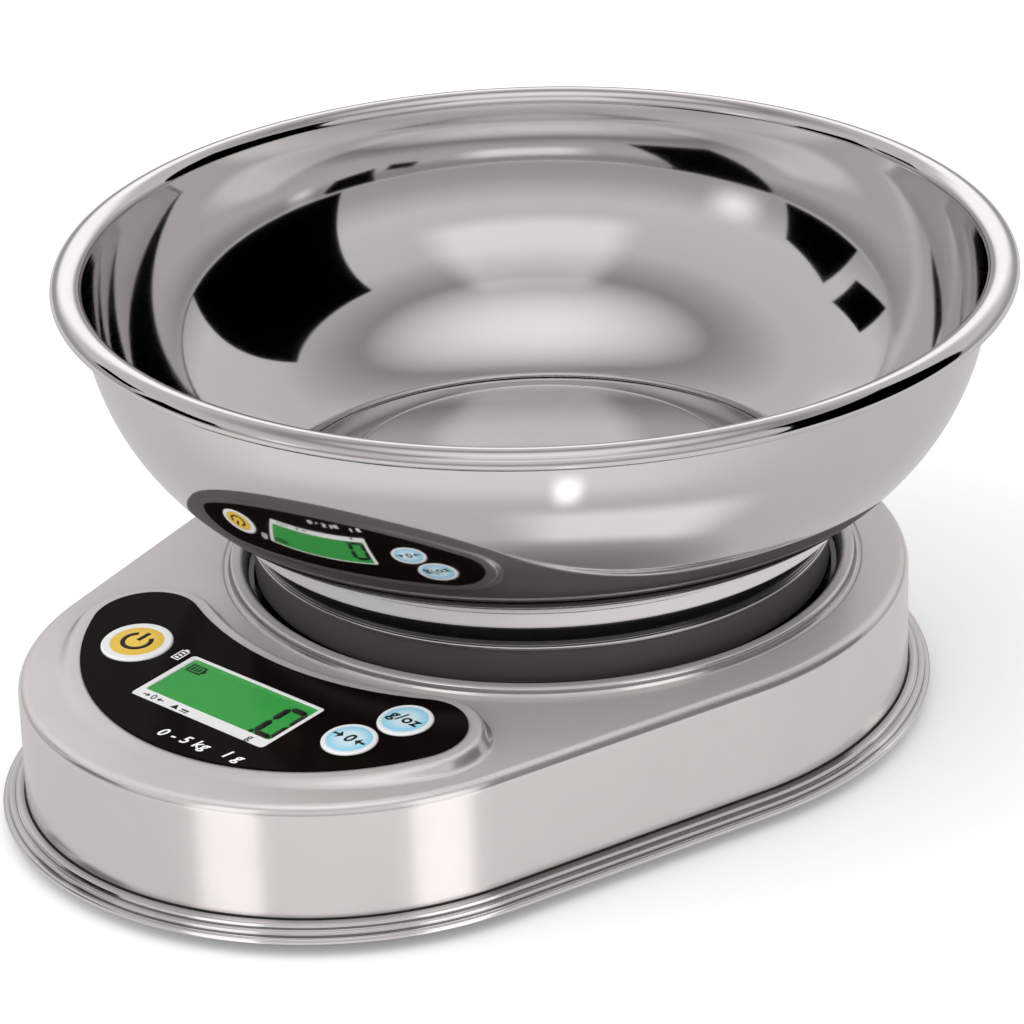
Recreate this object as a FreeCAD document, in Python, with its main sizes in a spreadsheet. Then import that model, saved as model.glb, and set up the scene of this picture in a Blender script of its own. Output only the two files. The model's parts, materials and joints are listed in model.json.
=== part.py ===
import FreeCAD, Part
import math
import os
import Sketcher

# Digital kitchen scale with a lift-off steel bowl, in millimetres, +Z up, standing on its rubber feet.
# The origin lies on the table under the middle of the whole scale. The keypad and display face -Y.

SIZES = {
    # Bowl, turned about the weighing axis
    "rim_radius": 120.0,
    "bowl_depth": 64.6,
    "rim_width": 6.2,
    "rim_depth": 3.6,
    "rim_round": 2.6,
    "bowl_wall": 0.8,
    "wall_bend": 62.0,
    "foot_radius": 79.0,
    "foot_step": 4.2,
    "foot_land": 9.0,
    "recess_slope": 22.0,
    "recess_rise": 7.0,
    # Weighing platform and its carrier
    "bowl_stand": 17.7,
    "foot_overhang": 2.0,
    "skirt_gap": 2.0,
    "skirt_dip": 0.5,
    "platform_edge": 8.2,
    "platform_wall": 2.4,
    "bowl_gap": 0.3,
    "post_circle": 30.0,
    "post_radius": 4.0,
    "carrier_radius": 42.0,
    "carrier_thick": 2.5,
    "press_gap": 0.5,
    # Housing outline: a large round end, a small round end and the tangents between them
    "back_radius": 93.0,
    "front_radius": 75.0,
    "round_spacing": 79.0,
    "shell_high": 36.5,
    "shell_sheet": 0.8,
    "shell_corner": 4.0,
    "well_radius": 75.0,
    "lip_width": 4.5,
    "lip_rise": 2.1,
    "ring_drop": 3.2,
    "ring_floor": 1.2,
    "stud_radius": 3.5,
    "stud_gap": 0.8,
    "stud_inset": 9.0,
    "stud_front_angle": 60.0,
    "stud_back_angle": 45.0,
    # Base tray and its bright edge ring
    "foot_rubber": 3.0,
    "foot_disc": 8.0,
    "foot_inset": 11.0,
    "foot_front_angle": 20.0,
    "foot_back_angle": 65.0,
    "tray_floor": 2.0,
    "tray_wall": 1.6,
    "tray_ease": 0.2,
    "shoulder_rise": 4.4,
    "upstand_rise": 4.6,
    "edge_reach": 5.75,
    "edge_step": 3.2,
    "edge_low": 2.3,
    "edge_high": 1.3,
    # Keypad boss: a bean laid round the weighing axis on a plane that leans forward
    "panel_clear": 13.0,
    "panel_centre": 16.5,
    "panel_rise": 2.8,
    "panel_tilt": 4.0,
    "bean_lobe": 13.5,
    "bean_spread": 45.5,
    "bean_outer": 64.8,
    "boss_margin": 3.2,
    "overlay_thick": 0.6,
    # Display
    "window_long": 45.2,
    "window_wide": 22.0,
    "window_forward": 3.2,
    "green_long": 42.4,
    "green_wide": 17.4,
    "green_back": 1.6,
    "glass_thick": 1.6,
    "light_thick": 2.2,
    "frame_thick": 4.4,
    # Keys
    "power_radius": 8.75,
    "power_across": 38.5,
    "power_back": 3.6,
    "key_radius": 6.6,
    "zero_across": 37.2,
    "zero_back": 0.6,
    "unit_across": 42.0,
    "unit_back": 14.8,
    "key_proud": 0.5,
    "key_play": 0.2,
    "key_flange": 0.4,
    "flange_thick": 0.8,
    "flange_clear": 1.7,
    "key_travel": 0.3,
    "press_spare": 0.05,
    # Circuit board, held under the panel
    "board_drop": 6.6,
    "board_thick": 1.6,
    "board_long": 104.0,
    "board_wide": 38.0,
    "switch_side": 6.0,
    "switch_body": 1.9,
    "plunger_radius": 1.75,
    "plunger_rise": 0.6,
    "chip_thick": 1.4,
    # Load cell
    "cell_long": 75.0,
    "cell_side": 12.7,
    "cell_eye": 4.2,
    "eye_reach": 5.9,
    "gauge_side": 7.5,
    "gauge_thick": 0.75,
    "cell_screw": 2.0,
    "cell_hole": 2.2,
    "cell_head": 3.6,
    "hole_reach": 5.0,
    "hole_rest": 3.75,
    "spacer_long": 20.0,
    "spacer_low": 4.0,
    "spacer_high": 3.3,
    "plate_thick": 1.5,
    "plate_long": 96.0,
    "plate_wide": 44.0,
    # Batteries
    "battery_long": 50.5,
    "battery_radius": 7.2,
    "battery_part": 0.75,
    "battery_ahead": 33.0,
    "nub_radius": 2.75,
    "case_wall": 1.5,
    "case_spare": 2.6,
    "contact_thick": 0.6,
    "spring_radius": 3.0,
    "door_play": 0.4,
    # Small screws
    "screw_radius": 1.25,
    "screw_bore": 1.35,
    "screw_clear": 1.5,
    "screw_head": 2.6,
    "head_thick": 1.4,
    "head_sink": 2.1,
    "screw_bite": 8.0,
    "bore_deep": 10.5,
}


class Size:
    """A length together with the spreadsheet expression that gives it."""

    def __init__(self, value, text):
        self.value = float(value)
        self.text = text

    def __add__(self, other):
        return Size(self.value + size(other).value, f"({self.text} + {size(other).text})")

    def __sub__(self, other):
        return Size(self.value - size(other).value, f"({self.text} - {size(other).text})")

    def __mul__(self, factor):
        return Size(self.value * factor, f"({self.text} * {factor})")

    def __truediv__(self, factor):
        return Size(self.value / factor, f"({self.text} / {factor})")

    def __neg__(self):
        return Size(-self.value, f"(0 - {self.text})")


def size(number):
    return number if isinstance(number, Size) else Size(number, repr(float(number)))


def make_sheet():
    sheet = doc.addObject("Spreadsheet::Sheet", "Sizes")
    for row, (alias, value) in enumerate(SIZES.items(), start=1):
        sheet.set(f"A{row}", alias)
        sheet.set(f"B{row}", str(value))
        sheet.setAlias(f"B{row}", alias)
    doc.recompute()


def cell(alias):
    return Size(SIZES[alias], f"Sizes.{alias}")


# --- Sketches: each drawing function adds constrained curves to a sketch ---------------------------

def tie(sketch, kind, *ends_and_size):
    """Add a driving dimension and bind it to its expression."""
    *ends, length = ends_and_size
    index = sketch.addConstraint(Sketcher.Constraint(kind, *ends, length.value))
    sketch.setExpression(f"Constraints[{index}]", length.text)


def pin(sketch, curve, point, across, along):
    """Hold one point of a curve at (across, along) from the sketch's origin."""
    for kind, length, axis in (("DistanceX", size(across), -2), ("DistanceY", size(along), -1)):
        if length.value == 0:
            sketch.addConstraint(Sketcher.Constraint("PointOnObject", curve, point, axis))
        else:
            tie(sketch, kind, -1, 1, curve, point, length)


def arc(centre, radius, start, end):
    circle_curve = Part.Circle(FreeCAD.Vector(*centre, 0), FreeCAD.Vector(0, 0, 1), radius)
    return Part.ArcOfCircle(circle_curve, math.radians(start), math.radians(end))


def circle(across, along, radius):
    def draw(sketch):
        centre = FreeCAD.Vector(size(across).value, size(along).value, 0)
        ring = sketch.addGeometry(Part.Circle(centre, FreeCAD.Vector(0, 0, 1), radius.value))
        tie(sketch, "Radius", ring, radius)
        pin(sketch, ring, 3, across, along)
    return draw


def rectangle(across, along, long, wide):
    """A rectangle of the given length and width about its centre."""
    half_long = long / 2
    half_wide = wide / 2
    corners = [
        (size(across) - half_long, size(along) - half_wide),
        (size(across) + half_long, size(along) - half_wide),
        (size(across) + half_long, size(along) + half_wide),
        (size(across) - half_long, size(along) + half_wide),
    ]
    return polygon(corners)


def polygon(corners):
    """A closed outline. A corner may carry a third value, the radius of the arc that leads to the
    next corner: positive turns left, negative turns right."""
    def draw(sketch):
        count = len(corners)
        spots = [(size(corner[0]), size(corner[1])) for corner in corners]
        bends = [size(corner[2]) if len(corner) > 2 else None for corner in corners]
        ends = []
        for number in range(count):
            first = FreeCAD.Vector(spots[number][0].value, spots[number][1].value, 0)
            last_spot = spots[(number + 1) % count]
            last = FreeCAD.Vector(last_spot[0].value, last_spot[1].value, 0)
            if bends[number] is None:
                curve = sketch.addGeometry(Part.LineSegment(first, last))
                ends.append((curve, 1, 2))
                continue
            bend = bends[number].value
            middle = (first + last) / 2
            left = FreeCAD.Vector(first.y - last.y, last.x - first.x, 0).normalize()
            half = (last - first).Length / 2
            centre = middle + left * math.copysign(math.sqrt(bend ** 2 - half ** 2), bend)
            ray = [math.degrees(math.atan2(spot.y - centre.y, spot.x - centre.x)) for spot in (first, last)]
            if bend < 0:
                ray.reverse()
            if ray[1] < ray[0]:
                ray[1] += 360
            curve = sketch.addGeometry(arc((centre.x, centre.y), abs(bend), *ray))
            ends.append((curve, 1, 2) if bend > 0 else (curve, 2, 1))
        for number, (curve, start, _) in enumerate(ends):
            before, _, stop = ends[number - 1]
            sketch.addConstraint(Sketcher.Constraint("Coincident", before, stop, curve, start))
            pin(sketch, curve, start, *spots[number])
        for (curve, _, _), bend in zip(ends, bends):
            if bend is not None:
                tie(sketch, "Radius", curve, bend if bend.value > 0 else -bend)
    return draw


def housing(margin):
    """The housing's plan: two rounds and their tangents, grown by a margin."""
    def draw(sketch):
        back = cell("back_radius") + margin
        front = cell("front_radius") + margin
        gap = cell("round_spacing")
        lean = math.degrees(math.asin((back.value - front.value) / gap.value))
        turn_right = math.radians(-lean)
        normal = FreeCAD.Vector(math.cos(turn_right), math.sin(turn_right), 0)
        mirror = FreeCAD.Vector(-normal.x, normal.y, 0)
        front_centre = FreeCAD.Vector(0, -gap.value, 0)
        back_arc = sketch.addGeometry(arc((0, 0), back.value, -lean, 180 + lean))
        left = sketch.addGeometry(Part.LineSegment(mirror * back.value, front_centre + mirror * front.value))
        front_arc = sketch.addGeometry(arc((0, -gap.value), front.value, 180 + lean, 360 - lean))
        right = sketch.addGeometry(Part.LineSegment(front_centre + normal * front.value, normal * back.value))
        loop = [back_arc, left, front_arc, right]
        for number, curve in enumerate(loop):
            sketch.addConstraint(Sketcher.Constraint("Tangent", loop[number - 1], 2, curve, 1))
        pin(sketch, back_arc, 3, 0, 0)
        pin(sketch, front_arc, 3, 0, -gap)
        tie(sketch, "Radius", back_arc, back)
        tie(sketch, "Radius", front_arc, front)
    return draw


def bean(margin):
    """The keypad's plan, in the panel's own plane: an arc about the weighing axis inside, two lobes,
    and a broad arc in front. It is symmetric, and grown by a margin."""
    def draw(sketch):
        inner = bean_inner() - margin
        lobe = cell("bean_lobe") + margin
        outer = cell("bean_outer") + margin
        spread = cell("bean_spread")
        axis = panel_distance()
        reach = inner.value + lobe.value
        lobe_y = axis.value - math.sqrt(reach ** 2 - spread.value ** 2)
        outer_y = lobe_y + math.sqrt((outer.value - lobe.value) ** 2 - spread.value ** 2)
        swing = math.degrees(math.asin(spread.value / reach))
        spray = math.degrees(math.asin(spread.value / (outer.value - lobe.value)))
        inner_arc = sketch.addGeometry(arc((0, axis.value), inner.value, 270 - swing, 270 + swing))
        right = sketch.addGeometry(arc((spread.value, lobe_y), lobe.value, 270 + spray, 450 + swing))
        outer_arc = sketch.addGeometry(arc((0, outer_y), outer.value, 270 - spray, 270 + spray))
        left = sketch.addGeometry(arc((-spread.value, lobe_y), lobe.value, 90 - swing, 270 - spray))
        joins = [(inner_arc, 2, right, 2), (right, 1, outer_arc, 2), (outer_arc, 1, left, 2), (left, 1, inner_arc, 1)]
        for join in joins:
            sketch.addConstraint(Sketcher.Constraint("Tangent", *join))
        pin(sketch, inner_arc, 3, 0, axis)
        tie(sketch, "Radius", inner_arc, inner)
        tie(sketch, "Radius", left, lobe)
        tie(sketch, "Radius", right, lobe)
        tie(sketch, "Radius", outer_arc, outer)
        tie(sketch, "DistanceX", -1, 1, right, 3, spread)
        tie(sketch, "DistanceX", left, 3, -1, 1, spread)
    return draw


def together(*drawings):
    def draw(sketch):
        for drawing in drawings:
            drawing(sketch)
    return draw


# --- Bodies and features --------------------------------------------------------------------------

def new_body(label, across=0, along=0, height=0, tilt=None):
    body = doc.addObject("PartDesign::Body", label)
    body.Label = label
    if tilt is not None:
        body.Placement = FreeCAD.Placement(FreeCAD.Vector(), FreeCAD.Rotation(FreeCAD.Vector(1, 0, 0), tilt.value))
        body.setExpression("Placement.Rotation.Angle", tilt.text)
    for axis, length in zip("xyz", (across, along, height)):
        body.setExpression(f"Placement.Base.{axis}", size(length).text)
    sub_parts.append(body)
    return body


def sketch_on(body, role, drawing, height=0, leaning=None):
    """A sketch on one of the body's own planes, raised to a height. With leaning, a pair of distance
    and height where the panel's plane pivots, the height is measured square to that plane."""
    plane = next(item for item in body.Origin.OriginFeatures if item.Role == role)
    sketch = body.newObject("Sketcher::SketchObject", body.Label + "_sketch")
    sketch.AttachmentSupport = (plane, [""])
    sketch.MapMode = "FlatFace"
    along = size(0)
    raised = size(height)
    if leaning is not None:
        tilt = cell("panel_tilt")
        lean = math.radians(tilt.value)
        turn = FreeCAD.Rotation(FreeCAD.Vector(1, 0, 0), tilt.value)
        sketch.AttachmentOffset = FreeCAD.Placement(FreeCAD.Vector(), turn)
        sketch.setExpression("AttachmentOffset.Rotation.Angle", tilt.text)
        along = leaning[0] - raised * math.sin(lean)
        raised = leaning[1] + raised * math.cos(lean)
    sketch.setExpression("AttachmentOffset.Base.y", along.text)
    sketch.setExpression("AttachmentOffset.Base.z", raised.text)
    drawing(sketch)
    return sketch


def extrude(body, kind, drawing, low, high, leaning=None):
    """Pad or pocket a drawing from one height to a higher one."""
    sketch = sketch_on(body, "XY_Plane", drawing, low, leaning)
    feature = body.newObject("PartDesign::" + kind, body.Label + "_" + kind.lower())
    feature.Profile = sketch
    feature.Reversed = kind == "Pocket"
    feature.setExpression("Length", (size(high) - low).text)
    body.Tip = feature
    return feature


def pad(body, drawing, low, high, leaning=None):
    return extrude(body, "Pad", drawing, low, high, leaning)


def pocket(body, drawing, low, high, leaning=None):
    return extrude(body, "Pocket", drawing, low, high, leaning)


def turn(body, drawing):
    """Turn a profile, drawn as radius and height, about the body's Z axis."""
    sketch = sketch_on(body, "XZ_Plane", drawing)
    feature = body.newObject("PartDesign::Revolution", body.Label + "_turned")
    feature.Profile = sketch
    feature.ReferenceAxis = (sketch, ["V_Axis"])
    feature.Angle = 360
    body.Tip = feature
    return feature


def round_edges(body, feature, radius, wanted):
    """Fillet the edges of the last feature that the test picks."""
    doc.recompute()
    names = [f"Edge{number}" for number, edge in enumerate(feature.Shape.Edges, start=1) if wanted(edge)]
    fillet = body.newObject("PartDesign::Fillet", body.Label + "_fillet")
    fillet.Base = (feature, names)
    fillet.setExpression("Radius", radius.text)
    body.Tip = fillet
    return fillet


def level(edge, height):
    return abs(edge.BoundBox.ZMin - height.value) < 0.01 and abs(edge.BoundBox.ZMax - height.value) < 0.01


# --- Places that several pieces share -------------------------------------------------------------

def shell_low():
    return cell("foot_rubber") + cell("shoulder_rise")


def shell_under():
    return cell("shell_high") - cell("shell_sheet")


def upstand_top():
    return shell_low() + cell("upstand_rise")


def lip_outer():
    return cell("well_radius") + cell("lip_width")


def foot_base():
    return cell("shell_high") + cell("bowl_stand")


def foot_inner():
    return cell("foot_radius") - cell("foot_land")


def recess_radius():
    return foot_inner() - cell("recess_slope")


def bean_inner():
    return lip_outer() + cell("panel_clear")


def panel_distance():
    """From the weighing axis forward to the line that the panel's plane pivots on."""
    return bean_inner() + cell("panel_centre")


def panel_height():
    return cell("shell_high") + cell("panel_rise")


def battery_forward():
    return cell("round_spacing") + cell("battery_ahead")


def weighing_axis():
    """Y of the weighing axis: the whole scale is centred on the origin."""
    front = cell("round_spacing") + cell("front_radius") + cell("edge_reach")
    return (front - cell("rim_radius")) / 2


def on_axis(label, height=0):
    return new_body(label, along=weighing_axis(), height=height)


def on_panel(label):
    """A body whose own XY plane is the keypad's upper surface, with +Z standing out of it."""
    spot = weighing_axis() - panel_distance()
    return new_body(label, along=spot, height=panel_height(), tilt=cell("panel_tilt"))


def key_spots():
    """Name, centre and radius of each key on the panel."""
    return {
        "power_button": (-cell("power_across"), cell("power_back"), cell("power_radius")),
        "zero_button": (cell("zero_across"), cell("zero_back"), cell("key_radius")),
        "unit_button": (cell("unit_across"), cell("unit_back"), cell("key_radius")),
    }


def key_holes():
    return together(*(circle(x, y, radius + cell("key_play")) for x, y, radius in key_spots().values()))


def window(margin=0):
    return rectangle(0, -cell("window_forward"), cell("window_long") + margin, cell("window_wide") + margin)


def board_top():
    return -cell("board_drop")


def tray_low():
    return cell("foot_rubber")


def tray_top():
    return cell("foot_rubber") + cell("tray_floor")


def plate_top():
    return tray_top() + cell("plate_thick")


def cell_low():
    return plate_top() + cell("spacer_low")


def cell_high():
    return cell_low() + cell("cell_side")


def carrier_low():
    return cell_high() + cell("press_gap") + cell("spacer_high")


def carrier_top():
    return carrier_low() + cell("carrier_thick")


def platform_top():
    return foot_base() + cell("recess_rise") - cell("bowl_gap")


def corner_spots(piece):
    """Four places set in from the housing's two rounds, each at an angle up from its cross line."""
    inset = cell(piece + "_inset")
    front = cell("front_radius") - inset
    back = cell("back_radius") - inset
    front_angle = math.radians(SIZES[piece + "_front_angle"])
    back_angle = math.radians(SIZES[piece + "_back_angle"])
    front_y = -(cell("round_spacing") + front * math.sin(front_angle))
    spots = []
    for side in (-1, 1):
        spots.append((front * math.cos(front_angle) * side, front_y))
        spots.append((back * math.cos(back_angle) * side, back * math.sin(back_angle)))
    return spots


def at_studs(radius):
    return together(*(circle(x, y, radius) for x, y in corner_spots("stud")))


def post_spots():
    reach = cell("post_circle") * math.sqrt(0.5)
    return [(reach, reach), (-reach, reach), (-reach, -reach), (reach, -reach)]


def at_posts(radius):
    return together(*(circle(x, y, radius) for x, y in post_spots()))


def cell_holes(end, radius):
    """Two holes across one end of the load cell: end is -1 for the fixed front end, 1 for the free end."""
    middle = (cell("cell_long") / 2 - cell("spacer_long") / 2) * end
    reach = cell("hole_reach")
    return together(circle(0, middle - reach, radius), circle(0, middle + reach, radius))


def cell_block(end):
    middle = (cell("cell_long") / 2 - cell("spacer_long") / 2) * end
    return rectangle(0, middle, cell("cell_side"), cell("spacer_long"))


# --- The bowl and what carries it -----------------------------------------------------------------

def bowl():
    """Drawn steel bowl: rolled rim, curved wall, a stepped foot, and a raised middle that locates it."""
    body = on_axis("bowl")
    wall = cell("bowl_wall")
    rim = cell("rim_radius")
    top = foot_base() + cell("bowl_depth")
    neck = rim - cell("rim_width")
    base = foot_base()
    foot = cell("foot_radius")
    rise = base + cell("recess_rise")
    under = top - cell("rim_depth")
    bead = cell("rim_round")
    throat = neck - wall * 2
    turn(body, polygon([
        (0, rise),
        (recess_radius(), rise),
        (foot_inner(), base),
        (foot, base),
        (foot, base + cell("foot_step"), cell("wall_bend")),
        (neck - wall, under),
        (rim, under),
        (rim, top - bead, bead),
        (rim - bead, top),
        (throat + bead, top, bead),
        (throat, top - bead),
        (throat, under, -(cell("wall_bend") - wall)),
        (foot - wall, base + cell("foot_step") + wall / 2),
        (foot - wall, base + wall),
        (foot_inner() + wall / 2, base + wall),
        (recess_radius() + wall / 2, rise + wall),
        (0, rise + wall),
    ]))


def weighing_platform():
    """Black moulded dish that the bowl stands on, with a skirt into the housing and four screw posts."""
    body = on_axis("weighing_platform")
    wall = cell("platform_wall")
    top = platform_top()
    ring = foot_base()
    reach = recess_radius() - cell("bowl_gap") * 2
    shelf = foot_inner() - cell("bowl_gap") * 2
    skirt = cell("well_radius") - cell("skirt_gap")
    inner = skirt - wall
    low = cell("shell_high") - cell("skirt_dip")
    turn(body, polygon([
        (0, top),
        (0, top - wall),
        (reach - wall / 2, top - wall),
        (shelf - wall / 2, ring - wall),
        (inner, ring - wall),
        (inner, low),
        (skirt, low),
        (skirt, ring - cell("platform_edge")),
        (cell("foot_radius") - cell("foot_overhang"), ring),
        (shelf, ring),
        (reach, top),
    ]))
    pad(body, at_posts(cell("post_radius")), carrier_top(), top - wall)
    pocket(body, at_posts(cell("screw_bore")), carrier_top(), carrier_top() + cell("bore_deep"))


def platform_carrier():
    """Round steel plate that joins the platform's posts to the free end of the load cell."""
    body = on_axis("platform_carrier")
    pad(body, circle(0, 0, cell("carrier_radius")), carrier_low(), carrier_top())
    holes = together(at_posts(cell("screw_clear")), cell_holes(1, cell("cell_hole")))
    pocket(body, holes, carrier_low(), carrier_top())


def platform_screws():
    body = on_axis("platform_screws")
    pad(body, at_posts(cell("screw_head")), carrier_low() - cell("head_thick"), carrier_low())
    pad(body, at_posts(cell("screw_radius")), carrier_low(), carrier_top() + cell("screw_bite"))


# --- The load cell --------------------------------------------------------------------------------

def load_cell():
    """Aluminium bending bar, with a figure-eight opening across its middle and two holes in each end."""
    body = on_axis("load_cell")
    pad(body, rectangle(0, 0, cell("cell_side"), cell("cell_long")), cell_low(), cell_high())
    eye = cell("cell_eye")
    middle = (cell_low() + cell_high()) / 2
    eyes = together(circle(-cell("eye_reach"), middle, eye), circle(cell("eye_reach"), middle, eye))
    for drawing in (eyes, rectangle(0, middle, eye * 2, eye)):
        slot = body.newObject("PartDesign::Pocket", "load_cell_slot")
        slot.Profile = sketch_on(body, "YZ_Plane", drawing)
        slot.Midplane = True
        slot.setExpression("Length", (cell("cell_side") * 2).text)
        body.Tip = slot
    for end in (-1, 1):
        pocket(body, cell_holes(end, cell("cell_hole")), cell_low(), cell_high())


def cell_spacer_low():
    body = on_axis("cell_spacer_low")
    pad(body, cell_block(-1), plate_top(), cell_low())
    pocket(body, cell_holes(-1, cell("cell_hole")), plate_top(), cell_low())


def cell_spacer_high():
    body = on_axis("cell_spacer_high")
    pad(body, cell_block(1), cell_high() + cell("press_gap"), carrier_low())
    pocket(body, cell_holes(1, cell("cell_hole")), cell_high() + cell("press_gap"), carrier_low())


def cell_screws_low():
    """Two screws up through the base plate and spacer into the fixed end of the load cell."""
    body = on_axis("cell_screws_low")
    head = tray_top() - cell("head_thick")
    pad(body, cell_holes(-1, cell("cell_head")), head, tray_top())
    pad(body, cell_holes(-1, cell("cell_screw")), tray_top(), cell_high() - cell("hole_rest"))


def cell_screws_high():
    """Two screws down through the carrier and spacer into the free end of the load cell."""
    body = on_axis("cell_screws_high")
    pad(body, cell_holes(1, cell("cell_head")), carrier_top(), carrier_top() + cell("head_thick"))
    pad(body, cell_holes(1, cell("cell_screw")), cell_low() + cell("hole_rest"), carrier_top())


def strain_gauges():
    """Four foil gauges bonded over the thin webs, under beads of sealant."""
    body = on_axis("strain_gauges")
    side = cell("gauge_side")
    patches = together(*(rectangle(0, cell("eye_reach") * end, side, side) for end in (-1, 1)))
    thick = cell("gauge_thick")
    pad(body, patches, cell_high(), cell_high() + thick)
    pad(body, patches, cell_low() - thick, cell_low())


def base_plate():
    """Steel plate that stiffens the tray under the load cell."""
    body = on_axis("base_plate")
    pad(body, rectangle(0, 0, cell("plate_wide"), cell("plate_long")), tray_top(), plate_top())
    pocket(body, cell_holes(-1, cell("cell_hole")), tray_top(), plate_top())


def overload_stop():
    """Set screw under the free end: the load cell lands on it before it can bend too far."""
    body = on_axis("overload_stop")
    spot = cell("cell_long") / 2 - cell("spacer_long") / 2
    pad(body, circle(0, spot, cell("cell_hole")), plate_top(), cell_low() - cell("press_gap"))


# --- The housing ----------------------------------------------------------------------------------

def body_shell():
    """Pressed stainless housing: tall wall, rounded top edge, leaning keypad boss and a rolled lip
    round the well. Four studs are welded inside for the base screws."""
    body = on_axis("body_shell")
    sheet = cell("shell_sheet")
    top = cell("shell_high")
    low = shell_low()
    under = shell_under()
    lip_top = top + cell("lip_rise")
    boss = (-panel_distance(), panel_height())
    skin = -cell("overlay_thick")
    pad(body, housing(0), low, top)
    solid = body.Tip
    round_edges(body, solid, cell("shell_corner"), lambda edge: level(edge, top))
    pad(body, bean(cell("boss_margin")), skin - cell("shell_corner") * 1.2, skin, boss)
    pad(body, circle(0, 0, lip_outer()), under, lip_top)
    lip = body.Tip
    round_edges(body, lip, cell("lip_rise") * 0.8, lambda edge: level(edge, lip_top))
    pocket(body, circle(0, 0, cell("well_radius")), low, lip_top + sheet)
    pocket(body, housing(-sheet), low, under - cell("shell_corner") * 0.6)
    pocket(body, housing(-(sheet + cell("shell_corner") * 0.6)), low, under)
    hollow = skin - sheet
    pocket(body, bean(cell("boss_margin") - sheet), hollow - cell("shell_corner") * 2, hollow, boss)
    openings = together(window(cell("key_play")), key_holes())
    pocket(body, openings, skin - cell("shell_corner"), skin + sheet, boss)
    stud_low = upstand_top() + cell("stud_gap")
    pad(body, at_studs(cell("stud_radius")), stud_low, under + sheet / 4)
    pocket(body, at_studs(cell("screw_bore")), low, stud_low + cell("bore_deep"))


def well_ring():
    """Black collar under the well's lip, which keeps crumbs out of the works."""
    body = on_axis("well_ring")
    under = shell_under()
    low = under - cell("ring_drop")
    pad(body, circle(0, 0, lip_outer()), low, under)
    pocket(body, circle(0, 0, cell("well_radius")), low + cell("ring_floor"), under)
    pocket(body, circle(0, 0, cell("carrier_radius") + cell("lip_width")), low, under)


def base_tray():
    """Black moulded tray: floor, shoulder that the housing stands on, and an upstand inside it."""
    body = on_axis("base_tray")
    inside = -(cell("shell_sheet") + cell("tray_ease"))
    pad(body, housing(cell("tray_ease")), tray_low(), shell_low())
    pad(body, housing(inside), shell_low(), upstand_top())
    pocket(body, housing(inside - cell("tray_wall")), tray_top(), upstand_top())
    pad(body, at_studs(cell("stud_radius")), tray_top(), upstand_top())
    pocket(body, at_studs(cell("screw_clear")), tray_low(), upstand_top())
    ease = cell("tray_ease") * 2
    pocket(body, at_studs(cell("screw_head") + ease), tray_low(), tray_low() + cell("head_sink"))
    pocket(body, cell_holes(-1, cell("cell_head") + ease), tray_low(), tray_top())
    hatch = rectangle(0, -battery_forward(), case_long(), case_wide())
    pocket(body, hatch, tray_low(), tray_top())


def edge_ring():
    """Bright rolled ring round the foot of the housing, with a lower and an upper step."""
    body = on_axis("edge_ring")
    low = tray_low() + cell("tray_ease")
    step = low + cell("edge_low")
    pad(body, housing(cell("edge_reach")), low, step)
    round_edges(body, body.Tip, cell("edge_low") * 0.45, lambda edge: edge.BoundBox.ZLength < 0.01)
    pad(body, housing(cell("edge_step")), low + cell("edge_low") / 2, step + cell("edge_high"))
    pocket(body, housing(cell("tray_ease")), low, step + cell("edge_high"))


def rubber_feet():
    """Two feet beside the keypad and two at the back, clear of the studs."""
    body = on_axis("rubber_feet")
    discs = [circle(x, y, cell("foot_disc")) for x, y in corner_spots("foot")]
    pad(body, together(*discs), 0, tray_low())


def base_screws():
    """Four screws up through the tray into the housing's studs."""
    body = on_axis("base_screws")
    seat = tray_low() + cell("head_sink")
    pad(body, at_studs(cell("screw_head")), seat - cell("head_thick"), seat)
    pad(body, at_studs(cell("screw_radius")), seat, upstand_top() + cell("screw_bite"))


# --- Keypad and display, in the panel's own leaning frame -----------------------------------------

def panel_overlay():
    """Black bean-shaped facing, with a window and three holes."""
    body = on_panel("panel_overlay")
    pad(body, bean(0), -cell("overlay_thick"), 0)
    pocket(body, together(window(), key_holes()), -cell("overlay_thick"), 0)


def display_window():
    body = on_panel("display_window")
    pad(body, window(), -cell("overlay_thick"), 0)


def glass_spot(margin=0):
    """The display's green field, set back from the middle of the window."""
    along = cell("green_back") - cell("window_forward")
    return rectangle(0, along, cell("green_long") + margin, cell("green_wide") + margin)


def display_frame():
    """White holder that shows round the display through the window and carries it from behind."""
    body = on_panel("display_frame")
    top = -cell("overlay_thick")
    low = top - cell("frame_thick")
    pad(body, window(), low, top)
    pocket(body, glass_spot(), low, top)


def display_glass():
    body = on_panel("display_glass")
    top = -(cell("overlay_thick") + cell("tray_ease"))
    pad(body, glass_spot(), top - cell("glass_thick"), top)


def backlight():
    """Green light plate behind the glass."""
    body = on_panel("backlight")
    top = -(cell("overlay_thick") + cell("tray_ease") + cell("glass_thick"))
    pad(body, glass_spot(), top - cell("light_thick"), top)


def contact_strip():
    """Rubber strip that joins the glass to the board's contacts."""
    body = on_panel("contact_strip")
    top = -(cell("overlay_thick") + cell("tray_ease") + cell("glass_thick") + cell("light_thick"))
    spot = rectangle(0, cell("green_back") - cell("window_forward"), cell("green_long") * 0.9, cell("light_thick"))
    pad(body, spot, board_top(), top)


def circuit_board():
    body = on_panel("circuit_board")
    board = rectangle(0, 0, cell("board_long"), cell("board_wide"))
    pad(body, board, board_top() - cell("board_thick"), board_top())
    pocket(body, board_fixings(cell("screw_clear")), board_top() - cell("board_thick"), board_top())


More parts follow.
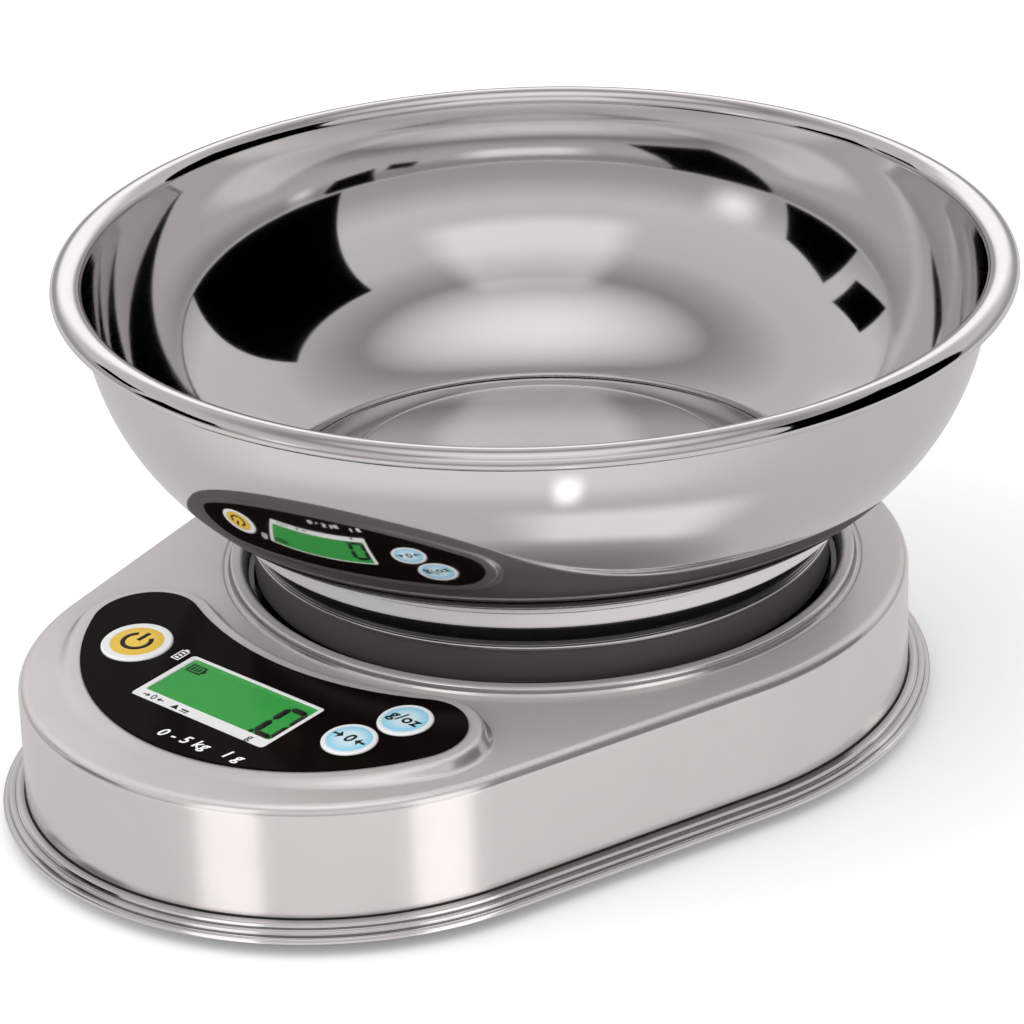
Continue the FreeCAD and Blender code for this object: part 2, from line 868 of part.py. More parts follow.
def board_fixings(radius):
    """Three fixings along the board's front and back edges, clear of the keys and the display."""
    edge = cell("board_wide") / 2 - cell("screw_head") - cell("head_thick") / 2
    side = cell("window_long") / 2 + cell("screw_head") + cell("head_thick") / 2
    spots = [(-side, -edge), (side, -edge), (side, edge)]
    return together(*(circle(x, y, radius) for x, y in spots))


def panel_carrier():
    """Black moulded frame under the keypad. It backs the sheet and carries the board on three posts."""
    body = on_panel("panel_carrier")
    top = -(cell("overlay_thick") + cell("shell_sheet"))
    low = top - cell("shell_sheet")
    pad(body, bean(-cell("shell_sheet")), low, top)
    clear = together(*(circle(x, y, radius + cell("key_flange") + cell("flange_clear")) for x, y, radius in key_spots().values()))
    for drawing in (window(cell("key_play")), clear):
        pocket(body, drawing, low, top)
    pad(body, board_fixings(cell("screw_head")), board_top(), top)
    pocket(body, board_fixings(cell("screw_bore")), board_top(), low)


def board_screws():
    body = on_panel("board_screws")
    under = board_top() - cell("board_thick")
    pad(body, board_fixings(cell("screw_head")), under - cell("head_thick"), under)
    pad(body, board_fixings(cell("screw_radius")), under, board_top() + cell("head_thick") * 2)


def switch_top():
    return board_top() + cell("switch_body")


def key_switches():
    """A small push switch on the board under each key."""
    body = on_panel("key_switches")
    side = cell("switch_side")
    cases = together(*(rectangle(x, y, side, side) for x, y, radius in key_spots().values()))
    plungers = together(*(circle(x, y, cell("plunger_radius")) for x, y, radius in key_spots().values()))
    pad(body, cases, board_top(), switch_top())
    pad(body, plungers, switch_top(), switch_top() + cell("plunger_rise"))


def control_chip():
    """Moulded chip and two small parts on the underside of the board."""
    body = on_panel("control_chip")
    under = board_top() - cell("board_thick")
    side = cell("switch_side")
    parts = together(rectangle(0, 0, side * 2, side * 1.5), rectangle(-side * 3, 0, side, side))
    pad(body, parts, under - cell("chip_thick"), under)


def key(label):
    """One key: a round cap through the facing, a flange under the sheet and a stem to its switch."""
    body = on_panel(label)
    x, y, radius = key_spots()[label]
    ledge = -(cell("overlay_thick") + cell("shell_sheet") + cell("tray_ease"))
    flange_low = ledge - cell("flange_thick")
    stem_low = switch_top() + cell("plunger_rise") + cell("key_travel") + cell("press_spare")
    pad(body, circle(x, y, radius), ledge, cell("key_proud"))
    round_edges(body, body.Tip, cell("key_proud") * 0.8, lambda edge: level(edge, cell("key_proud")))
    pad(body, circle(x, y, radius + cell("key_flange")), flange_low, ledge)
    pad(body, circle(x, y, cell("plunger_radius")), stem_low, flange_low)


# --- Batteries ------------------------------------------------------------------------------------

def case_long():
    return cell("battery_long") + cell("case_spare") * 2


def case_wide():
    return cell("battery_radius") * 4 + cell("battery_part") * 2


def bay(label):
    return new_body(label, along=weighing_axis() - battery_forward())


def battery_case():
    """Box on the tray's floor, open below, with a rib between the two batteries."""
    body = bay("battery_case")
    wall = cell("case_wall")
    high = battery_height() + cell("battery_radius") + wall
    pad(body, rectangle(0, 0, case_long() + wall * 2, case_wide() + wall * 2), tray_top(), high)
    pocket(body, rectangle(0, 0, case_long(), case_wide()), tray_top(), high - wall)


def rod(body, along, height, radius, middle, long):
    """A round bar along X, added to a body."""
    barrel = body.newObject("PartDesign::Pad", body.Label + "_rod")
    barrel.Profile = sketch_on(body, "YZ_Plane", circle(along, height, radius), middle - long / 2)
    barrel.setExpression("Length", long.text)
    body.Tip = barrel


def battery_line(side):
    """Y of one battery's axis in the bay: side is -1 or 1."""
    return (cell("battery_radius") + cell("battery_part") / 2) * side


def battery_height():
    return tray_top() + cell("battery_radius") + cell("door_play")


def batteries():
    """Two AA cells side by side, head to tail, each with its raised contact at one end."""
    body = bay("batteries")
    nub = cell("case_spare") - cell("contact_thick")
    for side in (-1, 1):
        line = battery_line(side)
        rod(body, line, battery_height(), cell("battery_radius"), size(0), cell("battery_long"))
        middle = (cell("battery_long") + nub) / 2 * side
        rod(body, line, battery_height(), cell("nub_radius"), middle, nub)


def battery_contacts():
    """Four contact plates in the ends of the case, two of them with a spring."""
    body = bay("battery_contacts")
    thick = cell("contact_thick")
    reach = (case_long() - thick) / 2
    coil = cell("case_spare") - thick
    for end in (-1, 1):
        for side in (-1, 1):
            plate = rectangle(reach * end, battery_line(side), thick, cell("battery_radius"))
            pad(body, plate, battery_height() - cell("battery_radius") / 2, battery_height() + cell("battery_radius") / 2)
        middle = (cell("battery_long") + coil) / 2 * end
        rod(body, battery_line(-end), battery_height(), cell("spring_radius"), middle, coil)


def battery_door():
    """Flush door in the tray's floor. It hooks in at the back edge and swings down."""
    body = bay("battery_door")
    play = cell("door_play") * 2
    pad(body, rectangle(0, 0, case_long() - play, case_wide() - play), tray_low(), tray_top() - cell("door_play"))


# --- Build, check and write -----------------------------------------------------------------------

def check(items):
    """Stop before anything is written if a feature failed or a piece is not a valid solid."""
    for item in doc.Objects:
        if {"Invalid", "Error"} & set(item.State):
            raise RuntimeError(f"{item.Name} failed: {item.State}")
    for item in items:
        shape = item.Shape
        if shape.isNull() or not shape.isValid() or not shape.Solids:
            raise RuntimeError(f"{item.Label} has no valid solid")


doc = FreeCAD.newDocument("kitchen_scale")
sub_parts = []
make_sheet()

for build in (
    bowl, weighing_platform, platform_carrier, platform_screws,
    load_cell, cell_spacer_low, cell_spacer_high, cell_screws_low, cell_screws_high,
    strain_gauges, base_plate, overload_stop,
    body_shell, well_ring, base_tray, edge_ring, rubber_feet, base_screws,
    panel_overlay, display_window, display_frame, display_glass, backlight, contact_strip,
    circuit_board, panel_carrier, board_screws, key_switches, control_chip,
    battery_case, batteries, battery_contacts, battery_door,
):
    build()
for name in key_spots():
    key(name)

doc.recompute()
check(sub_parts)

os.makedirs("parts", exist_ok=True)
for part in sub_parts:
    part.Shape.exportStep(f"parts/{part.Label}.step")
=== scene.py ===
import json
import math

import bmesh
import bpy
import numpy as np
from mathutils import Matrix, Vector


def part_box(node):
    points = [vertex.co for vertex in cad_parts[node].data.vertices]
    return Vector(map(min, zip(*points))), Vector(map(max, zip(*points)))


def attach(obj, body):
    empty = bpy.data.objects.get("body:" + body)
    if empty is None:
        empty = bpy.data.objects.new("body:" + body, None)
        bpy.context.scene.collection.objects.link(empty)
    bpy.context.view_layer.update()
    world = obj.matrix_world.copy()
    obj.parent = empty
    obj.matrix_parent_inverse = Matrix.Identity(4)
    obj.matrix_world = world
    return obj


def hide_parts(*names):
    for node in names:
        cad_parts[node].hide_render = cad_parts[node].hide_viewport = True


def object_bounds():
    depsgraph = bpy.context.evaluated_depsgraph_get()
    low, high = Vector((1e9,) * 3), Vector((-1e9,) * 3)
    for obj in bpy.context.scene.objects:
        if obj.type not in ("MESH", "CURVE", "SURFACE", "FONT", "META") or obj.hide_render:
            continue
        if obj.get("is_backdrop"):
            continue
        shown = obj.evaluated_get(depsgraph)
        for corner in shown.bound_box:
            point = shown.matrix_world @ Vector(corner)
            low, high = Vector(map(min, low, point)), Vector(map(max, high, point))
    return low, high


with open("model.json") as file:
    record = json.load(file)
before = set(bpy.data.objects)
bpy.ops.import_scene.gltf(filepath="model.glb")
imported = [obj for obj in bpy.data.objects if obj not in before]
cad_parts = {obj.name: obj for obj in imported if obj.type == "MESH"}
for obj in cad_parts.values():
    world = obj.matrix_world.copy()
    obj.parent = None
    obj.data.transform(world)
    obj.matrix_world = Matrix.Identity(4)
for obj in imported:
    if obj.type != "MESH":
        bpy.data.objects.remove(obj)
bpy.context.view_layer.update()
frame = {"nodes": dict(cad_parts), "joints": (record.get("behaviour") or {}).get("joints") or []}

# ---------------- Rubber feet
# Four round feet of soft black rubber, moulded with a hollow sole and a ring of
# fine ribs, and glued into shallow seats under the tray.
MM = 0.001
CAD_WELD = 1e-6


def paint(red, green, blue):
    """A colour, 0 to 255, as the light it sends back."""
    light = (((c / 255 + 0.055) / 1.055) ** 2.4 if c > 10 else c / 3295 for c in (red, green, blue))
    return (*light, 1)


def socket_of(value):
    """A node stands for its first output."""
    return value.outputs[0] if isinstance(value, bpy.types.Node) else value


def add(tree, kind, sockets=(), **settings):
    """One node in a finish or a shape, with its sockets set or joined."""
    family = "GeometryNode" if tree.bl_idname == "GeometryNodeTree" else "ShaderNode"
    made = tree.nodes.new(family + kind)
    for name, value in settings.items():
        setattr(made, name, value)
    for name, value in dict(sockets).items():
        value = socket_of(value)
        if isinstance(value, bpy.types.NodeSocket):
            tree.links.new(value, made.inputs[name])
        else:
            made.inputs[name].default_value = value
    return made


def new_effect(name, kind, **takes):
    """A shared tree and its named inputs, each with its start value or its kind."""
    tree = bpy.data.node_groups.new(name, kind + "NodeTree")
    for label, start in takes.items():
        holds = start if isinstance(start, str) else {1: "Float", 3: "Vector", 4: "Color"}[np.size(start)]
        label = label.replace("_", " ")
        made = tree.interface.new_socket(name=label, in_out="INPUT", socket_type="NodeSocket" + holds)
        if holds != start:
            made.default_value = start
    return tree, tree.nodes.new("NodeGroupInput").outputs


def give(tree, **results):
    """Ends a shared tree with its named outputs."""
    ends = tree.nodes.new("NodeGroupOutput").inputs
    for label, value in results.items():
        kind = {"Colour": "Color", "Normal": "Vector", "Piece": "Geometry"}.get(label, "Float")
        tree.interface.new_socket(name=label, in_out="OUTPUT", socket_type="NodeSocket" + kind)
        tree.links.new(socket_of(value), ends[label])


def sums(tree, operation, *numbers):
    """One sum on two or three numbers."""
    return add(tree, "Math", dict(enumerate(numbers)), operation=operation)


# The skin that a mould leaves on plastic and rubber: a fine even grain, and a
# little drift in gloss and colour from handling.
grain, given = new_effect(
    "moulded grain", "Shader", Colour=(0.5, 0.5, 0.5, 1), Roughness=0.4, Grain=0.2, Size=1, Drift=0.08
)
where = add(grain, "TexCoord").outputs["Object"]
fineness = sums(grain, "MULTIPLY", given["Size"], 1600)
fine = add(grain, "TexNoise", {"Vector": where, "Scale": fineness, "Detail": 2})
broad = add(grain, "TexNoise", {"Vector": where, "Scale": 38, "Detail": 4, "Roughness": 0.6})
swing = sums(grain, "MULTIPLY", sums(grain, "SUBTRACT", broad, 0.5), given["Drift"])
bump = add(grain, "Bump", {"Strength": given["Grain"], "Distance": 0.08 * MM, "Height": fine})
gloss = sums(grain, "MULTIPLY_ADD", swing, 2.5, given["Roughness"])
lift = sums(grain, "MULTIPLY_ADD", swing, 3, 1)
tone = add(grain, "VectorMath", {0: given["Colour"], "Scale": lift}, operation="SCALE")
give(grain, Colour=tone, Roughness=gloss, Normal=bump)


def finish_from(effect, name, sockets, **fixed):
    """A finish with its colour, gloss and surface from a shared effect, and the rest fixed."""
    made = bpy.data.materials.new(name)
    made.use_nodes = True
    tree = made.node_tree
    shader = tree.nodes["Principled BSDF"]
    group = add(tree, "Group", node_tree=effect)
    for label, value in sockets.items():
        group.inputs[label].default_value = value
    for socket in group.outputs:
        if socket.name not in fixed:
            target = "Base Color" if socket.name == "Colour" else socket.name
            tree.links.new(socket, shader.inputs[target])
    for label, value in fixed.items():
        shader.inputs[label.replace("_", " ")].default_value = value
    made.diffuse_color = sockets.get("Colour", made.diffuse_color)
    return made


def moulded(name, colour, roughness=0.42, depth=0.25, size=1, drift=0.08, **fixed):
    """Moulded plastic or rubber."""
    values = {"Colour": colour, "Roughness": roughness, "Grain": depth, "Size": size, "Drift": drift}
    return finish_from(grain, name, values, **fixed)


def end_shape(tree, piece, given):
    """Ends a shape tree: plain geometry, coated with the finish it is given."""
    real = add(tree, "RealizeInstances", {"Geometry": piece})
    give(tree, Piece=add(tree, "SetMaterial", {"Geometry": real, "Material": given["Finish"]}))


# A section carried along a closed line: the way every turned, rolled or moulded
# edge here is made. The section lies across the line, its first number outwards.
carried, given = new_effect(
    "section along a line", "Geometry", Line="Geometry", Section="Object", Weld=1e-6, Finish="Material"
)
line = add(carried, "MeshToCurve", {0: given["Line"]})
level = add(carried, "SetCurveNormal", {"Curve": line}, mode="Z_UP")
section = add(carried, "ObjectInfo", {"Object": given["Section"]}).outputs["Geometry"]
profile = add(carried, "MeshToCurve", {0: section})
skin = add(carried, "CurveToMesh", {"Curve": level, "Profile Curve": profile})
welded = add(carried, "MergeByDistance", {"Geometry": skin, "Distance": given["Weld"]})
end_shape(carried, add(carried, "SetShadeSmooth", {"Geometry": welded}), given)


def placed(name, data):
    """A new object in the scene, from its mesh or other data."""
    made = bpy.data.objects.new(name, data)
    bpy.context.scene.collection.objects.link(made)
    return made


def strand(name, points, closed):
    """Points in mm joined in a row by edges, closed into a ring or left open."""
    count = len(points)
    edges = [(i, (i + 1) % count) for i in range(count if closed else count - 1)]
    mesh = bpy.data.meshes.new(name)
    mesh.from_pydata([MM * Vector((*p, 0)[:3]) for p in points], edges, [])
    return placed(name, mesh)


def plain_mesh(made):
    """An object's mesh with everything on it worked out."""
    bpy.context.view_layer.update()
    return bpy.data.meshes.new_from_object(made.evaluated_get(bpy.context.evaluated_depsgraph_get()))


def settle(made, *spent):
    """Keeps an object's worked-out mesh as its own, and clears what it was made from."""
    plain = plain_mesh(made)
    plain.name = made.name
    made.modifiers.clear()
    made.data = plain
    for other in spent:
        bpy.data.objects.remove(other)
    return made


def shaped(made, tree, *spent, **values):
    """Runs a shape tree on an object, its inputs set by their identifiers, and settles it."""
    shape = made.modifiers.new(tree.name, "NODES")
    shape.node_group = tree
    for item in tree.interface.items_tree:
        key = item.name.replace(" ", "_")
        if item.item_type == "SOCKET" and item.in_out == "INPUT" and key in values:
            shape[item.identifier] = values[key]
    return settle(made, *spent)


def outward(made, sharp=None):
    """Faces turned outwards and smooth, with edges sharper than an angle left crisp."""
    bm = bmesh.new()
    bm.from_mesh(made.data)
    bmesh.ops.recalc_face_normals(bm, faces=bm.faces)
    for face in bm.faces:
        face.smooth = True
    if sharp is not None:
        for edge in bm.edges:
            if len(edge.link_faces) == 2 and edge.calc_face_angle(0) > math.radians(sharp):
                edge.smooth = False
    bm.to_mesh(made.data)
    bm.free()
    return made


def eased(corners, closed=False, turn=12):
    """Corner points (out, up, radius) joined by straight runs, each corner rounded by its
    radius. Short holding runs beside each round keep the flats flat in the polish."""
    made, count = [], len(corners)
    for i, corner in enumerate(corners):
        here, radius = Vector(corner[:2]), corner[2] if len(corner) > 2 else 0
        if radius <= 0 or (not closed and i in (0, count - 1)):
            made.append(here)
            continue
        back, ahead = (Vector(corners[k % count][:2]) - here for k in (i - 1, i + 1))
        half = back.angle(ahead) / 2
        cut = min(radius / math.tan(half), 0.49 * back.length, 0.49 * ahead.length)
        radius = cut * math.tan(half)
        start, end = here + back.normalized() * cut, here + ahead.normalized() * cut
        inward = (back.normalized() + ahead.normalized()).normalized()
        centre = here + inward * (radius / math.sin(half))
        steps = max(2, math.ceil(math.degrees(math.pi - 2 * half) / turn))
        hold = min(0.25 * radius, 0.2 * (back.length - cut), 0.2 * (ahead.length - cut))
        made.append(start + back.normalized() * hold)
        first, sweep = start - centre, (start - centre).angle_signed(end - centre)
        for k in range(steps + 1):
            made.append(centre + Matrix.Rotation(-sweep * k / steps, 2) @ first)
        made.append(end + ahead.normalized() * hold)
    return [(p.x, p.y) for p in made]


def turned(name, section, centre, finish, sides=96, closed=False):
    """A piece spun about an upright axis, from its section in mm (out from the axis, up)."""
    reach = 10
    angles = np.linspace(0, math.tau, sides, endpoint=False)
    ring = [(centre[0] + reach * math.cos(a), centre[1] + reach * math.sin(a)) for a in angles]
    made = strand(name, ring, True)
    cutter = strand(name + "_section", [(out - reach, -up) for out, up in section], closed)
    return outward(shaped(made, carried, cutter, Section=cutter, Finish=finish))


# One pattern piece set out on every point given, as screws and feet are.
set_out, given = new_effect(
    "set out on points", "Geometry", Points="Geometry", Pattern="Object", Finish="Material"
)
pattern = add(set_out, "ObjectInfo", {"Object": given["Pattern"]}).outputs["Geometry"]
laid = add(set_out, "InstanceOnPoints", {"Points": given["Points"], "Instance": pattern})
end_shape(set_out, laid, given)


def repeated(name, pattern, points, finish):
    """Copies of a pattern piece on points, as one plain piece."""
    return shaped(strand(name, points, False), set_out, pattern, Pattern=pattern, Finish=finish)


def solids_of(node):
    """The low and high corners, in mm, of each separate solid in a CAD node."""
    bm = bmesh.new()
    bm.from_mesh(frame["nodes"][node].data)
    bmesh.ops.remove_doubles(bm, verts=bm.verts, dist=CAD_WELD)
    seen, found = set(), []
    for first in bm.verts:
        if first in seen:
            continue
        seen.add(first)
        queue, places = [first], []
        while queue:
            vert = queue.pop()
            places.append(tuple(vert.co))
            near = {edge.other_vert(vert) for edge in vert.link_edges} - seen
            seen |= near
            queue += near
        found.append((Vector(np.min(places, 0)) / MM, Vector(np.max(places, 0)) / MM))
    bm.free()
    return found


def places_of(node, lift=0):
    """The middle of each solid in a CAD node, at its lowest level and lifted from there."""
    return [(*((low + high) / 2).xy, low.z + lift) for low, high in solids_of(node)]


def belongs(made, body, slot, *nodes):
    """Puts a finished piece on its body, in place of CAD nodes. Its finish slot is not used."""
    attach(made, body)
    if nodes:
        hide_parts(*nodes)
    return made


foot_rubber = moulded("foot rubber", paint(34, 33, 34), 0.72, 0.5, 0.6)
sole = eased([
    (0, 0.7), (2.6, 0.7, 0.2), (3.1, 0, 0.25), (4.3, 0, 0.15), (4.6, 0.45, 0.1), (5.2, 0.45, 0.1),
    (5.5, 0, 0.15), (7.3, 0, 0.6), (8, 1.2, 0.3), (8, 3, 0.15), (0, 3),
])
foot = turned("foot", sole, (0, 0), foot_rubber, 64)
feet = repeated("feet", foot, places_of("rubber_feet"), foot_rubber)
belongs(feet, "housing", "foot_rubber", "rubber_feet")

# ---------------- Base tray and screws
# The underside is one moulding of black ABS, ribbed inside, held up into the
# steel shell by four long self-tapping screws with cross recesses.
SAME_SPOT = 0.02
WELD = 0.002 * MM


def recoat(finish, *nodes):
    """CAD pieces kept as they are take a better finish."""
    for node in nodes:
        materials = frame["nodes"][node].data.materials
        materials.clear()
        materials.append(finish)


def walk(arcs, turn=3, run=6):
    """Places (x, y, out x, out y) round a line of arcs (centre x, y, radius, from, to) and the
    straight runs between them. A radius below zero is a hollow arc."""
    made = []
    for cx, cy, radius, start, end in arcs:
        sweep, side = abs(end - start), math.copysign(1, radius)
        steps = max(1, math.ceil(sweep / turn))
        if made and sweep < 360:
            a = math.radians(start)
            first = Vector((cx + abs(radius) * math.cos(a), cy + abs(radius) * math.sin(a)))
            last = Vector(made[-1][:2])
            gap = (first - last).length
            for k in range(1, math.ceil(gap / run)):
                made.append((*last.lerp(first, k * run / gap), *made[-1][2:]))
        for k in range(steps if sweep >= 360 else steps + 1):
            a = math.radians(start + (end - start) * k / steps)
            n = (math.cos(a), math.sin(a))
            spot = Vector((cx + abs(radius) * n[0], cy + abs(radius) * n[1]))
            if not made or (spot - Vector(made[-1][:2])).length > SAME_SPOT:
                made.append((*spot, side * n[0], side * n[1]))
    last, first = Vector(made[-1][:2]), Vector(made[0][:2])
    gap = (first - last).length
    if gap < SAME_SPOT:
        made.pop()
    for k in range(1, math.ceil(gap / run)):
        made.append((*last.lerp(first, k * run / gap), *made[0][2:]))
    return made


def vertex(bm, x, y, z):
    """A corner of a mesh under way, from its place in mm."""
    return bm.verts.new((x * MM, y * MM, z * MM))


def bridge(bm, *rings):
    """Faces between closed rings of the same count."""
    for low, high in zip(rings, rings[1:]):
        for a, b, c, d in zip(low, low[1:] + low[:1], high[1:] + high[:1], high):
            bm.faces.new((a, b, c, d))


def wall(bm, places, section):
    """A skin carried round places from a section (out, up); gives back its end rings."""
    rings = [[vertex(bm, x + nx * o, y + ny * o, up) for x, y, nx, ny in places] for o, up in section]
    bridge(bm, *rings)
    return rings[0], rings[-1]


def cap(bm, *rings):
    """Fills the flat between rings, the widest one first."""
    edges = []
    for ring in rings:
        for a, b in zip(ring, ring[1:] + ring[:1]):
            edges.append(bm.edges.get((a, b)) or bm.edges.new((a, b)))
    bmesh.ops.triangle_fill(bm, use_beauty=True, edges=edges)


def move(made, place):
    """Moves a piece's mesh by a placement in mm."""
    made.data.transform(Matrix.Translation(place.translation * MM) @ place.to_3x3().to_4x4())


def piece_from(bm, name, finish, place=None, sharp=None):
    """A mesh under way becomes a finished object, welded and turned outwards."""
    bmesh.ops.remove_doubles(bm, verts=bm.verts, dist=WELD)
    mesh = bpy.data.meshes.new(name)
    bm.to_mesh(mesh)
    bm.free()
    mesh.materials.append(finish)
    made = outward(placed(name, mesh), sharp)
    if place is not None:
        move(made, place)
    return made


# Bright wire-drawn or plated steel: a light smear of haze over a fine lengthwise
# draw, ringed round a centre, and duller on top where a finish asks for it.
polish, given = new_effect(
    "polished sheet", "Shader", Colour=(0.8, 0.8, 0.8, 1), Roughness=0.08, Haze=0.06, Lines=0.02,
    Wave=0.02, Centre=(0, 0, 0), Metal=1, Satin_top=0,
)


def axis_of(tree, socket, axis="Z"):
    """One axis of a direction or place."""
    return add(tree, "SeparateXYZ", {0: socket}).outputs[axis]


def span(tree, value, low, high, kind="SMOOTHSTEP", top=1):
    """How far a number has come between two levels, up to a top."""
    sockets = {"Value": value, "From Min": low, "From Max": high, "To Max": top}
    return add(tree, "MapRange", sockets, interpolation_type=kind)


where = add(polish, "TexCoord").outputs["Object"]
about = add(polish, "VectorMath", {0: where, 1: given["Centre"]}, operation="SUBTRACT")
split = add(polish, "SeparateXYZ", {0: about}).outputs
squares = [sums(polish, "MULTIPLY", split[axis], split[axis]) for axis in ("X", "Y")]
away = sums(polish, "SQRT", sums(polish, "ADD", *squares))
ringed = add(polish, "CombineXYZ", {"X": away, "Z": split["Z"]})
lines = add(polish, "TexNoise", {"Vector": ringed, "Scale": 1800, "Detail": 3, "Roughness": 0.7})
slow = add(polish, "TexNoise", {"Vector": where, "Scale": 11, "Detail": 1})
smear = {"Vector": where, "Scale": 24, "Detail": 5, "Roughness": 0.62, "Distortion": 0.6}
mask = span(polish, add(polish, "TexNoise", smear), 0.38, 0.78, "LINEAR")
top = span(polish, axis_of(polish, add(polish, "NewGeometry").outputs["Normal"]), 0.55, 0.98)
satin = sums(polish, "MULTIPLY", top, given["Satin top"])
hazed = sums(polish, "MULTIPLY_ADD", mask, given["Haze"], given["Roughness"])
gloss = sums(polish, "MULTIPLY_ADD", satin, 0.16, hazed)
metal = sums(polish, "MULTIPLY_ADD", satin, -0.36, given["Metal"])
bump = add(polish, "Bump", {"Strength": given["Lines"], "Distance": 0.04 * MM, "Height": lines})
bump = {"Strength": given["Wave"], "Distance": 2 * MM, "Height": slow, "Normal": bump}
fade = sums(polish, "MULTIPLY_ADD", mask, -0.05, 1)
tone = add(polish, "VectorMath", {0: given["Colour"], "Scale": fade}, operation="SCALE")
give(polish, Colour=tone, Roughness=gloss, Metallic=metal, Normal=add(polish, "Bump", bump))


def polished(name, colour, roughness, haze, lines, wave, centre=(0, 0, 0), metal=1, satin_top=0):
    """Bare bright metal."""
    values = {
        "Colour": colour, "Roughness": roughness, "Haze": haze, "Lines": lines, "Wave": wave,
        "Centre": centre, "Metal": metal, "Satin top": satin_top,
    }
    return finish_from(polish, name, values, **({} if satin_top else {"Metallic": metal}))


screw_steel = polished("screw steel", paint(196, 196, 200), 0.22, 0.2, 0.2, 0)


def fit_screws(name, node, head, high, shank, long, cross, slot, deep):
    """Screws driven from below, one for each solid of a CAD node: a domed head with a cross
    recess, and a plain shank. Radii and lengths in mm."""
    bm = bmesh.new()
    ring = walk([(0, 0, 1, 0, 360)], 15)
    section = [
        (head * 0.62, high), (head * 0.72, high * 0.99), (head * 0.9, high * 0.82), (head, high * 0.5),
        (head, high * 0.1), (head * 0.96, 0), (shank * 1.02, 0), (shank, -0.2), (shank, 0.8 - long),
        (shank * 0.3, -long),
    ]
    top, tip = wall(bm, ring, [(out - 1, up) for out, up in section])
    a, b = cross / 2, slot / 2
    recess = [(b, a), (-b, a), (-b, b), (-a, b), (-a, -b), (-b, -b)]
    recess += [(-x, -y) for x, y in recess]
    rim = [vertex(bm, x, y, high) for x, y in recess]
    floor = [vertex(bm, x * 0.8, y * 0.8, high - deep) for x, y in recess]
    bridge(bm, rim, floor)
    bm.faces.new(floor)
    cap(bm, top, rim)
    bm.faces.new(tip)
    pattern = piece_from(bm, "screw", screw_steel, Matrix.Rotation(math.pi, 4, "X"), 35)
    made = repeated(name, pattern, places_of(node, high), screw_steel)
    belongs(made, "housing", "screw_steel", node)


tray_plastic = moulded("tray plastic", paint(27, 26, 28), 0.5, 0.35)
recoat(tray_plastic, "base_tray")
fit_screws("base_screws_fitted", "base_screws", 2.6, 1.7, 1.45, 14.6, 2.9, 0.75, 1.1)

# ---------------- Edge ring
# The bright trim round the foot of the body: one strip of steel rolled into
# three stepped beads, pressed over the rim of the tray.


def box_of(node):
    """The low and high corners of a CAD node, in mm."""
    return [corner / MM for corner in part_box(node)]


outline_low = box_of("body_shell")[0]
bowl_low, bowl_high = box_of("bowl")
AXIS = Vector((0, (bowl_low.y + bowl_high.y) / 2))
BACK_RADIUS = 93
FRONT_RADIUS = 75
front_centre = outline_low.y + FRONT_RADIUS - 0.04
slant = math.degrees(math.asin((BACK_RADIUS - FRONT_RADIUS) / (AXIS.y - front_centre)))


def body_line(turn=2):
    """Round the body's outline: a wide back arc, a smaller front arc and straight flanks."""
    back = (0, AXIS.y, BACK_RADIUS, -slant, 180 + slant)
    front = (0, front_centre, FRONT_RADIUS, 180 + slant, 360 - slant)
    return walk([back, front], turn)


def tint(finish, share, colour, blend="MIX"):
    """Mixes another colour over a finish's own."""
    tree = finish.node_tree
    base = tree.nodes["Principled BSDF"].inputs["Base Color"]
    sockets = {"Factor": share, 6: base.links[0].from_socket, 7: colour}
    mixed = add(tree, "Mix", sockets, data_type="RGBA", blend_type=blend)
    tree.links.new(mixed.outputs[2], base)


# Painted shade in the grooves between the beads: (height in mm, light kept).
GROOVES = (
    (3.3, 0.2), (3.6, 1), (4.82, 1), (4.9, 0.2), (5.14, 0.2), (5.24, 1), (6.02, 1), (6.1, 0.25),
    (6.28, 0.25), (6.38, 1), (7.02, 1), (7.16, 0.6),
)
edge_steel = polished("edge steel", paint(236, 233, 232), 0.1, 0.05, 0.02, 0.01)
tree = edge_steel.node_tree
height = axis_of(tree, add(tree, "TexCoord").outputs["Object"])
groove_shade = add(tree, "ValToRGB", {"Fac": sums(tree, "DIVIDE", height, 10 * MM)})
for up, level in GROOVES:
    spot = groove_shade.color_ramp.elements.new(up / 10)
    spot.color = (level, level, level, 1)
groove_shade.color_ramp.elements[0].color = groove_shade.color_ramp.elements[-1].color = (0.3, 0.3, 0.3, 1)
# Painted shade multiplied into the steel's colour: darkest in the grooves, and darker at the ring's top and
# foot.
tint(edge_steel, 1, groove_shade.outputs["Color"], "MULTIPLY")
beads = eased([
    (0.35, 3.25, 0.2), (5, 3.2, 0.5), (5.75, 3.35, 0.7), (5.75, 4.75, 0.7), (4.3, 4.85, 0.12),
    (4.25, 5.2, 0.1), (4.3, 6, 0.5), (2.7, 6.05, 0.12), (2.65, 6.35, 0.1), (2.3, 6.95, 0.35),
    (0.6, 7.2, 0.15), (0.22, 7.05, 0.1), (0.22, 6, 0.1),
], closed=True, turn=20)
edge = strand("rolled_edge", [place[:2] for place in body_line()], True)
cutter = strand("rolled_edge_section", [(out, -up) for out, up in beads], True)
edge = outward(shaped(edge, carried, cutter, Section=cutter, Finish=edge_steel))
belongs(edge, "housing", "edge_steel", "edge_ring")

